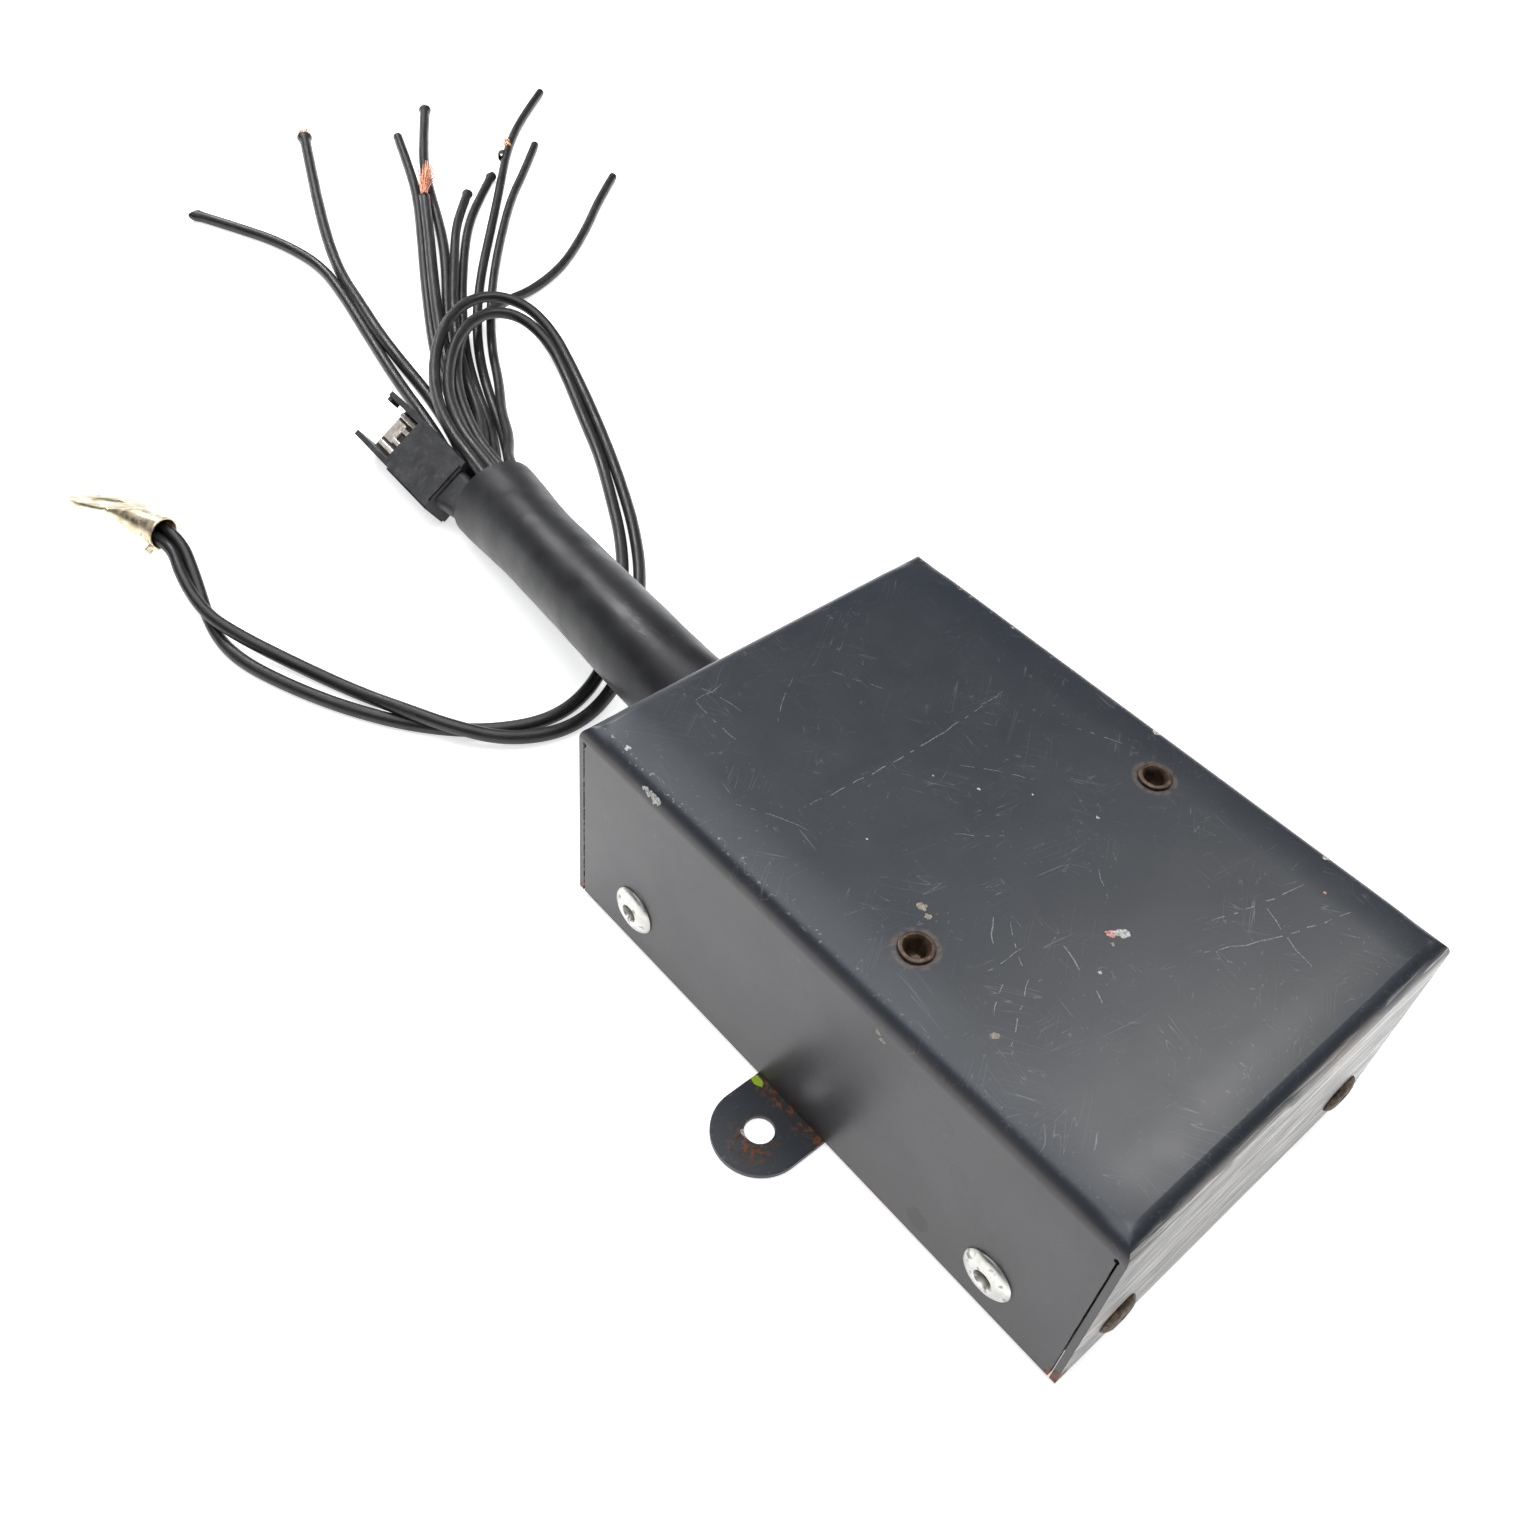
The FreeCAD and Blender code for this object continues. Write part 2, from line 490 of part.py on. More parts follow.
def route_of(name):
    """All the points of a wire, from inside the sleeve to its far end."""
    across, above = SLOTS[name]
    points = [in_sleeve(across, above, -SPLIT)]
    if name in PAST_MOUTH:
        points.append(in_sleeve(across, above, PAST_MOUTH[name]))
    points += [Vector(*point) for point in ROUTES[name]]
    if name in LUG_SIDE:
        seat = LUG_MOUTH + LUG_BESIDE * (LUG_SIDE[name] * (WIRE_D / 2 + 0.01))
        points.append(seat - LUG_AXIS * LUG_LEAD)
        points.append(seat + LUG_AXIS * LUG_DEPTH)
    return points


def make_wires():
    for name in SLOTS:
        tube, length, radii = bent_tube(route_of(name), WIRE_D / 2)
        expected = math.pi * (WIRE_D / 2) ** 2 * length
        print("%s length %.0f smallest radius %.1f volume / section x length %.4f"
              % (name, length, min(radii), tube.Volume / expected))
        save(name, tube)


def inside_case(across, above):
    """The same place in the sleeve's bore at its bend, and 7 mm past its inner end."""
    level = unit(Vector(ACROSS.x, 0, ACROSS.z))
    offset = level * across + level.cross(Y_AXIS) * above
    mitre = unit(Y_AXIS + SLEEVE_AXIS)
    bend = SLEEVE_BEND + offset - Y_AXIS * (offset.dot(mitre) / mitre.y)
    return bend, SLEEVE_START + offset - Y_AXIS * 7


def make_inner_harness():
    """The same wires inside the sleeve and the case, fanned out to the terminals."""
    inward = 1.2           # the round part of the sleeve is narrower than its mouth
    ordered = sorted(SLOTS, key=lambda name: inside_case(*SLOTS[name])[1].x)
    tubes = []
    for index, name in enumerate(ordered):
        across, above = SLOTS[name]
        bend, inner = inside_case(across - inward, above)
        x = terminal_x(index)
        points = [
            in_sleeve(across, above, -SPLIT), bend, inner,
            Vector((inner.x + 2 * x) / 3, 27.0, inner.z - 6.0), Vector(x, 20.0, TERMINAL_HOLE_Z),
            Vector(x, TERMINAL_Y[1] - 3.5, TERMINAL_HOLE_Z)]
        tube, _, _ = bent_tube(points, WIRE_D / 2)
        tubes.append(tube)
    return tubes


HEADER = (-31.8, -25.4, 18.0, 25.0, BOARD_TOP, 12.8)


def make_connector_cable():
    """Cable of the small connector, from the boot back to the header on the circuit board."""
    across, above = CABLE_SLOT
    bend, inner = inside_case(across + 0.2, above)
    points = [
        in_sleeve(across, above, -BOOT_INSIDE), bend, inner, Vector(-20, 32, 21.5),
        Vector(-26.4, 26, 20.5), Vector(-28.6, 22, 18.5), Vector(-28.6, 21.5, HEADER[5])]
    tube, _, _ = bent_tube(points, CABLE_D / 2 - 0.1)
    return tube


def make_cable_tie():
    """Strain relief: a tie drawn tight round the sleeve just inside the end wall."""
    band_start = Vector(SLEEVE_START.x, 50.0, SLEEVE_START.z)
    band = rod(SLEEVE_R + 1.2, 4.6, band_start, Y_AXIS).cut(rod(SLEEVE_R, 6.6, band_start - Y_AXIS, Y_AXIS))
    top = band_start.z + SLEEVE_R
    head = block(band_start.x - 3.4, band_start.x + 3.4, 49.6, 55.0, top, top + 4.4)
    return fused([band, head]).cut(rod(SLEEVE_R, 8, band_start - Y_AXIS * 2, Y_AXIS))


# ---- connector ----------------------------------------------------------
SOCKET_ACROSS = Vector(math.cos(SOCKET_ROLL), -0.04, math.sin(SOCKET_ROLL))
SOCKET_ACROSS = unit(SOCKET_ACROSS - SOCKET_FORWARD * SOCKET_ACROSS.dot(SOCKET_FORWARD))
SOCKET_ABOVE = SOCKET_ACROSS.cross(SOCKET_FORWARD)
CAVITY_START = 12.0
FLOOR_END = SOCKET_LENGTH - 0.6
ROOF_END = SOCKET_LENGTH - 14.2


def in_socket_frame(shape):
    return placed(shape, SOCKET_REAR, SOCKET_ACROSS, SOCKET_FORWARD, SOCKET_ABOVE)


def make_socket():
    """Keyed housing: its floor and side walls reach the mouth, its roof stops well before."""
    half_w, half_h = SOCKET_WIDTH / 2, SOCKET_HEIGHT / 2
    body = block(-half_w, half_w, 0, SOCKET_LENGTH, -half_h, half_h)
    body = body.makeFillet(0.6, edges_on(body, lambda p: 1 < p.y < SOCKET_LENGTH - 1))
    shoulder = block(-half_w - 0.5, -half_w + 1, 0, SOCKET_LENGTH - 16, -half_h + 0.6, half_h - 0.6)
    inside_w, inside_h = half_w - SOCKET_WALL, half_h - SOCKET_WALL
    cuts = [
        block(-inside_w, inside_w, CAVITY_START, SOCKET_LENGTH + 1, -inside_h, inside_h),
        block(-inside_w, inside_w, FLOOR_END, SOCKET_LENGTH + 1, -half_h - 1, 0),
        block(-inside_w, inside_w, ROOF_END, SOCKET_LENGTH + 1, 0, half_h + 1)]
    return in_socket_frame(fused([body, shoulder]).cut(cuts))


def make_socket_contacts():
    """Two side rails, two short fingers and the plate between them, on the housing's floor."""
    floor = SOCKET_WALL - SOCKET_HEIGHT / 2
    tip = SOCKET_LENGTH
    shapes = [
        block(-4.9, -3.5, CAVITY_START, tip - 1.6, floor, floor + 1.2),
        block(3.5, 4.9, CAVITY_START, tip - 1.2, floor, floor + 1.2),
        block(-2.3, -1.1, CAVITY_START, tip - 5.1, floor, floor + 1.6),
        block(1.1, 2.3, CAVITY_START, tip - 5.1, floor, floor + 1.6),
        block(-2.8, 2.8, tip - 5.0, tip - 1.2, floor, floor + 0.5)]
    return [in_socket_frame(shape) for shape in shapes]


def rounded_outline(centre, across, above, width, height, corner):
    """Closed outline of a rectangle with round corners, about a point in space."""
    half_w, half_h = width / 2, height / 2
    straight_w, straight_h = half_w - corner, half_h - corner

    def at(u, v):
        return centre + across * u + above * v

    diagonal = corner * math.sqrt(0.5)
    edges = []
    for sign_u, sign_v in ((1, -1), (1, 1), (-1, 1), (-1, -1)):
        middle = at(sign_u * (straight_w + diagonal), sign_v * (straight_h + diagonal))
        along_u = at(sign_u * straight_w, sign_v * half_h)
        along_v = at(sign_u * half_w, sign_v * straight_h)
        first, last = (along_u, along_v) if sign_u * sign_v < 0 else (along_v, along_u)
        if edges:
            edges.append(Part.makeLine(edges[-1].Vertexes[-1].Point, first))
        edges.append(Part.Arc(first, middle, last).toShape())
    edges.append(Part.makeLine(edges[-1].Vertexes[-1].Point, edges[0].Vertexes[0].Point))
    return Part.Wire(edges)


def make_boot():
    """Moulded boot that joins the connector to its cable, just inside the sleeve's mouth."""
    inner_end = in_sleeve(CABLE_SLOT[0], CABLE_SLOT[1], -BOOT_INSIDE)
    wide = rounded_outline(SOCKET_REAR, SOCKET_ACROSS, SOCKET_ABOVE, 10.5, 6.0, 2.0)
    narrow = rounded_outline(inner_end, ACROSS, ABOVE, 8.0, 4.6, 2.2)
    return Part.makeLoft([wide, narrow], True, True)


# ---- ring terminal and bare copper --------------------------------------
def make_ring_terminal():
    """Crimp barrel over the two ground wires, narrowing to a flat neck and a tilted ring."""
    outward = unit(RING_CENTRE - LUG_NECK)
    across = unit(outward.cross(RING_NORMAL))
    reach = (RING_CENTRE - LUG_NECK).Length
    barrel = rod(LUG_BARREL_R, LUG_BARREL_LENGTH, LUG_MOUTH, LUG_AXIS)
    level = unit(across - LUG_AXIS * across.dot(LUG_AXIS))
    width = 2 * LUG_BARREL_R
    shoulder = rounded_outline(
        LUG_MOUTH + LUG_AXIS * (LUG_BARREL_LENGTH - 0.2), level, level.cross(LUG_AXIS),
        width - 0.1, width - 0.1, LUG_BARREL_R - 0.1)
    neck = rounded_outline(LUG_NECK + outward * 0.6, across, across.cross(outward), 5.4, LUG_T, 0.45)
    taper = Part.makeLoft([shoulder, neck], True, True)
    tongue = block(-2.7, 2.7, 0, reach, -LUG_T / 2, LUG_T / 2)
    ring = fused([tongue, rod(RING_R, LUG_T, Vector(0, reach, -LUG_T / 2))])
    ring = placed(ring, LUG_NECK, across, outward, across.cross(outward))
    lug = fused([barrel, taper, ring])
    bore = rod(LUG_BARREL_BORE_R, LUG_BARREL_LENGTH, LUG_MOUTH - LUG_AXIS, LUG_AXIS)
    hole = rod(RING_HOLE_R, 6, RING_CENTRE - RING_NORMAL * 3, RING_NORMAL)
    return lug.cut([bore, hole])


def make_bare_copper():
    """Short stubs of bare strands at three of the cut ends."""
    stubs = []
    for name, length in (("wire_2", 2.2), ("wire_4", 2.0), ("wire_5", 9.0)):
        points = route_of(name)
        stubs.append(rod(0.8, length, points[-1], unit(points[-1] - points[-2])))
    return stubs


# ---- write every node ----------------------------------------------------
side_rivets, end_rivets, top_rivets = make_case_rivets()
save("cover", make_cover())
save("base_plate", make_base_plate())
save("side_rivets", *side_rivets)
save("end_rivets", *end_rivets)
save("top_rivets", *top_rivets)

save("breaker_bracket", make_breaker_bracket())
breakers, stud_nuts = make_breakers()
save("circuit_breakers", *breakers)
save("breaker_nuts", *stud_nuts)
circuit_board, board_standoffs, board_screws = make_board()
save("circuit_board", circuit_board)
save("board_standoffs", *board_standoffs)
save("board_screws", *board_screws)
terminal_block, terminal_screws = make_terminals()
save("board_header", block(*HEADER))
save("terminal_block", terminal_block)
save("terminal_screws", *terminal_screws)

relays = [make_relay(side * RELAY_X, RELAY_Y) for side in (-1, 1)]
SHARED_RELAY_NODES = (
    "relay_bases", "relay_yokes", "relay_bobbins", "relay_windings", "relay_cores",
    "relay_springs", "relay_fixed_contacts")
for index, node in enumerate(SHARED_RELAY_NODES):
    save(node, *[relay[index] for relay in relays])
for label, relay in zip(("left", "right"), relays):
    save(label + "_relay_armature", relay[-2])
    save(label + "_relay_contact", relay[-1])

save("sleeve", make_sleeve())
save("cable_tie", make_cable_tie())
save("inner_harness", *make_inner_harness())
save("connector_cable", make_connector_cable())
save("connector_boot", make_boot())
save("connector_housing", make_socket())
save("connector_contacts", *make_socket_contacts())
make_wires()
save("ring_terminal", make_ring_terminal())
save("bare_copper", *make_bare_copper())
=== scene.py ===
"""Visual model of the portable power distribution box: painted steel case, rivets,
rubber sleeve, cut wires, keyed connector and ring terminal.

Shapes are written in millimetres and scaled once; cord routes are in metres.
"""
import bpy
import bmesh
import json
import math
import random
from mathutils import Matrix, Vector, noise


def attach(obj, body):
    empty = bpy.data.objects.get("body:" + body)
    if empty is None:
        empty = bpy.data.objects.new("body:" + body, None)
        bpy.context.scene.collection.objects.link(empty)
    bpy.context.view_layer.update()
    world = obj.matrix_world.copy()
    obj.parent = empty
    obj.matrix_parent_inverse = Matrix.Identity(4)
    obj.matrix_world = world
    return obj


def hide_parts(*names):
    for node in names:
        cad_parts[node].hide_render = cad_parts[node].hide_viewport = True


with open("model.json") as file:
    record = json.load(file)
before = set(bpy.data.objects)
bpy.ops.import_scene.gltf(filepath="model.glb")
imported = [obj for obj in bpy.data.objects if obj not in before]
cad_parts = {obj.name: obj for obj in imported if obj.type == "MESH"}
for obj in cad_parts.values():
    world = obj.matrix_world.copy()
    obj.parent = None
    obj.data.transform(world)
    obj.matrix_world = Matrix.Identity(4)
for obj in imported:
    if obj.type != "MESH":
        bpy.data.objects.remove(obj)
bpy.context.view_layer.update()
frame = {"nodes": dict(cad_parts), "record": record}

MM = 0.001
FULL_TURN = 2 * math.pi
CASE_X, CASE_Y, CASE_Z = 82.0, 120.0, 45.6
SHEET = 1.2
SEAM = 0.35
SEAM_TOP = CASE_Z - 3.6
FIT_GAP = 0.2
TRAY_Z = 15.0
CROWN_WIDTH = 11.5
CROWN_CUTS = (11.5, 9.9, 8.6, 7.4, 6.4, 5.5, 4.6, 3.8, 3.1)
EAR_X, EAR_R, EAR_HOLE_R = 48.0, 8.4, 2.65
TOP_RIVET_X, TOP_RIVET_Y, TOP_RIVET_HOLE_R = 29.0, -8.2, 1.9
SIDE_RIVET_Y, END_RIVET_X, RIVET_Z = 43.5, 30.0, 10.8
SLEEVE_HOLE_X, SLEEVE_HOLE_Z, SLEEVE_HOLE_R = -8.5, 25.0, 9.8
RING_R, RING_HOLE_R, RING_T = 8.2, 3.4, 0.9
WIRE_D = 0.0027
LOW = WIRE_D / 2
HIGH = 0.00375


def linked(name, data):
    """New object of the scene, holding the data given."""
    made = bpy.data.objects.new(name, data)
    bpy.context.scene.collection.objects.link(made)
    return made


# ---- camera ---------------------------------------------------------------
def make_camera():
    eye = Vector((-0.1430, -0.0799, 0.2207))
    right = Vector((0.74762, -0.65793, 0.09053))
    up = Vector((0.43642, 0.58945, 0.67977))
    camera = linked("camera", bpy.data.cameras.new("camera"))
    turn = Matrix((right, up, right.cross(up))).transposed().to_4x4()
    camera.matrix_world = Matrix.Translation(eye) @ turn
    camera.data.lens = 34.17
    camera.data.sensor_width = 36.0
    camera.data.clip_start = 0.005
    camera.data.clip_end = 20.0
    bpy.context.scene.camera = camera


# ---- frames shared by the sleeve, the boot and the wires --------------------
SLEEVE_START = Vector((-0.0085, 0.044, 0.025))
SLEEVE_BEND = Vector((-0.0085, 0.074, 0.025))
SLEEVE_MOUTH = Vector((0.0075, 0.159, 0.0092))
SLEEVE_ROLL = math.radians(28)
SLEEVE_R = 0.0095
SLEEVE_WALL = 0.0014
SLEEVE_AXIS = (SLEEVE_MOUTH - SLEEVE_BEND).normalized()
LEVEL = Vector((SLEEVE_AXIS.y, -SLEEVE_AXIS.x, 0)).normalized()
UPWARD = LEVEL.cross(SLEEVE_AXIS)
ACROSS = LEVEL * math.cos(SLEEVE_ROLL) + UPWARD * math.sin(SLEEVE_ROLL)
ABOVE = UPWARD * math.cos(SLEEVE_ROLL) - LEVEL * math.sin(SLEEVE_ROLL)

SOCKET_REAR = Vector((0.0023, 0.1682, 0.0079))
SOCKET_FORWARD = Vector((0.05, 0.9987, 0)).normalized()
SOCKET_ACROSS = Vector((math.cos(math.radians(36)), -0.04, math.sin(math.radians(36))))
SOCKET_ACROSS = (SOCKET_ACROSS - SOCKET_FORWARD * SOCKET_ACROSS.dot(SOCKET_FORWARD)).normalized()
SOCKET_ABOVE = SOCKET_ACROSS.cross(SOCKET_FORWARD)

LUG_MOUTH = Vector((-0.0586, 0.1904, 0.0085))
LUG_AXIS = Vector((-0.302, 0.953, -0.007)).normalized()
LUG_BESIDE = Vector((0.892, 0.286, 0.35))
LUG_NECK = Vector((-0.0628, 0.2037, 0.0084))
RING_CENTRE = Vector((-0.0624, 0.212, 0.0052))
RING_NORMAL = Vector((0.39, 0.315, 0.865))


def in_sleeve(across, above, along):
    """A point beside the sleeve's axis; along is counted from the mouth, outwards."""
    return SLEEVE_MOUTH + ACROSS * across + ABOVE * above + SLEEVE_AXIS * along


# ---- routes of the wires, in metres -----------------------------------------
SLOTS = {
    "ground_wire_a": (0.0002, 0.0053), "ground_wire_b": (0.003, 0.005), "wire_10": (0.0053, 0.0035),
    "wire_9": (0.0071, 0.0014), "wire_8": (0.0072, -0.0014), "wire_4": (0.0056, -0.0036),
    "wire_3": (0.0032, -0.0049), "wire_1": (0.0004, -0.0054), "wire_2": (0.001, -0.0027),
    "wire_5": (0.0036, -0.00175), "wire_7": (0.0043, 0.0009), "wire_6": (0.0016, 0.0026)}
PAST_MOUTH = {
    "wire_9": 0.005, "wire_8": 0.006, "wire_5": 0.007, "wire_4": 0.007, "wire_2": 0.009,
    "wire_3": 0.008, "wire_1": 0.008}
ROUTES = {
    "wire_1": [
        (0.0126, 0.185, 0.0015), (0.0172, 0.203, LOW), (0.0208, 0.224, LOW), (0.026, 0.247, LOW),
        (0.0315, 0.27, LOW), (0.0345, 0.288, LOW), (0.0315, 0.305, LOW), (0.0255, 0.319, LOW),
        (0.019, 0.332, LOW)],
    "wire_2": [
        (0.0156, 0.185, 0.0027), (0.0208, 0.2, LOW), (0.0242, 0.215, LOW), (0.0258, 0.23, 0.0022),
        (0.028, 0.2455, 0.0029), (0.032, 0.262, 0.0026), (0.0362, 0.279, LOW), (0.0424, 0.297, LOW),
        (0.0516, 0.319, LOW), (0.0615, 0.341, LOW), (0.071, 0.362, LOW)],
    "wire_3": [
        (0.0184, 0.184, 0.0019), (0.0244, 0.199, LOW), (0.0296, 0.215, LOW), (0.0364, 0.231, LOW),
        (0.046, 0.249, LOW), (0.0578, 0.27, LOW), (0.0705, 0.292, LOW), (0.0815, 0.312, LOW),
        (0.0895, 0.33, LOW), (0.097, 0.348, LOW)],
    "wire_4": [
        (0.0214, 0.183, 0.0022), (0.0279, 0.198, LOW), (0.0332, 0.213, LOW), (0.0404, 0.229, LOW),
        (0.0506, 0.247, LOW), (0.0634, 0.267, LOW), (0.0745, 0.287, LOW), (0.0837, 0.307, LOW),
        (0.0924, 0.325, LOW), (0.1036, 0.343, LOW), (0.1155, 0.361, LOW)],
    "wire_5": [
        (0.0176, 0.183, 0.0044), (0.0246, 0.198, 0.0042), (0.0304, 0.213, HIGH), (0.0376, 0.2285, HIGH),
        (0.0468, 0.246, HIGH), (0.0586, 0.267, HIGH), (0.0696, 0.286, HIGH), (0.079, 0.303, 0.0042)],
    "wire_6": [
        (0.01, 0.167, 0.0108), (0.0198, 0.182, 0.0076), (0.0282, 0.197, 0.0046), (0.0342, 0.212, HIGH),
        (0.0418, 0.228, HIGH), (0.0518, 0.2455, HIGH), (0.0642, 0.264, HIGH), (0.0756, 0.281, HIGH),
        (0.085, 0.292, 0.0036), (0.093, 0.301, 0.0026)],
    "wire_7": [
        (0.0129, 0.166, 0.0104), (0.0226, 0.182, 0.005), (0.0304, 0.1965, LOW), (0.0362, 0.2115, LOW),
        (0.0438, 0.2275, LOW), (0.0542, 0.245, LOW), (0.0676, 0.265, LOW), (0.082, 0.2845, LOW),
        (0.0945, 0.2975, LOW), (0.107, 0.309, LOW)],
    "wire_8": [
        (0.0252, 0.1805, 0.0044), (0.0326, 0.195, LOW), (0.0388, 0.21, LOW), (0.0466, 0.2255, LOW),
        (0.0574, 0.2425, LOW), (0.071, 0.2605, LOW), (0.087, 0.2795, LOW), (0.1045, 0.3005, LOW),
        (0.122, 0.322, LOW), (0.139, 0.339, LOW), (0.158, 0.354, LOW)],
    "wire_9": [
        (0.0256, 0.1795, 0.008), (0.0328, 0.194, 0.0044), (0.0422, 0.209, 0.0018), (0.05, 0.224, LOW),
        (0.0606, 0.2405, LOW), (0.074, 0.2585, LOW), (0.089, 0.2765, LOW), (0.1045, 0.294, LOW),
        (0.119, 0.3075, LOW), (0.1325, 0.321, LOW)],
    "wire_10": [
        (0.0132, 0.168, 0.0129), (0.0164, 0.181, 0.0118), (0.0248, 0.201, 0.0096),
        (0.0348, 0.2175, 0.007), (0.0445, 0.229, 0.0068), (0.055, 0.2355, 0.0046),
        (0.066, 0.2408, 0.0032), (0.076, 0.244, LOW), (0.087, 0.248, LOW), (0.0975, 0.254, LOW),
        (0.113, 0.266, LOW), (0.1275, 0.279, LOW), (0.141, 0.2895, LOW)],
    "ground_wire_a": [
        (0.0079, 0.168, 0.0146), (0.0104, 0.182, 0.014), (0.0184, 0.202, 0.0112), (0.0315, 0.222, 0.01),
        (0.0455, 0.2348, 0.0098), (0.0575, 0.2376, 0.0094), (0.0656, 0.231, 0.0076),
        (0.0666, 0.219, 0.0046), (0.0622, 0.2035, 0.0022), (0.0564, 0.188, LOW), (0.0496, 0.172, LOW),
        (0.0422, 0.156, LOW), (0.034, 0.14, LOW), (0.024, 0.1245, LOW), (0.0105, 0.1095, LOW),
        (-0.004, 0.098, LOW), (-0.018, 0.094, LOW), (-0.0305, 0.0985, 0.0022),
        (-0.0385, 0.1065, 0.0042), (-0.0435, 0.1165, 0.004), (-0.0475, 0.129, LOW),
        (-0.0534, 0.143, 0.0018), (-0.0596, 0.1566, 0.0036), (-0.0623, 0.1662, 0.0047),
        (-0.0616, 0.177, 0.0069)],
    "ground_wire_b": [
        (0.0106, 0.168, 0.0142), (0.0132, 0.182, 0.0136), (0.0216, 0.201, 0.011),
        (0.033, 0.217, 0.0098), (0.0435, 0.2265, 0.0096), (0.0535, 0.23, 0.0092),
        (0.0614, 0.2262, 0.0072), (0.0628, 0.2146, 0.0042), (0.058, 0.1995, 0.0018),
        (0.0514, 0.184, LOW), (0.045, 0.1685, LOW), (0.037, 0.1533, LOW), (0.0288, 0.1383, LOW),
        (0.0188, 0.1245, LOW), (0.0068, 0.112, LOW), (-0.006, 0.102, LOW), (-0.019, 0.0985, LOW),
        (-0.032, 0.1035, LOW), (-0.043, 0.1135, LOW), (-0.0515, 0.126, LOW), (-0.058, 0.1395, LOW),
        (-0.0624, 0.1525, LOW), (-0.0623, 0.164, LOW), (-0.0588, 0.1764, 0.0052)]}
LUG_SIDE = {"ground_wire_a": -1, "ground_wire_b": 1}


def route_of(name):
    """All the points of a wire, from inside the sleeve's mouth to its far end."""
    across, above = SLOTS[name]
    points = [in_sleeve(across, above, -0.018)]
    if name in PAST_MOUTH:
        points.append(in_sleeve(across, above, PAST_MOUTH[name]))
    points += [Vector(point) for point in ROUTES[name]]
    if name in LUG_SIDE:
        seat = LUG_MOUTH + LUG_BESIDE * (LUG_SIDE[name] * (WIRE_D / 2 + 0.00001))
        points.append(seat - LUG_AXIS * 0.0035)
        points.append(seat + LUG_AXIS * 0.004)
    return points


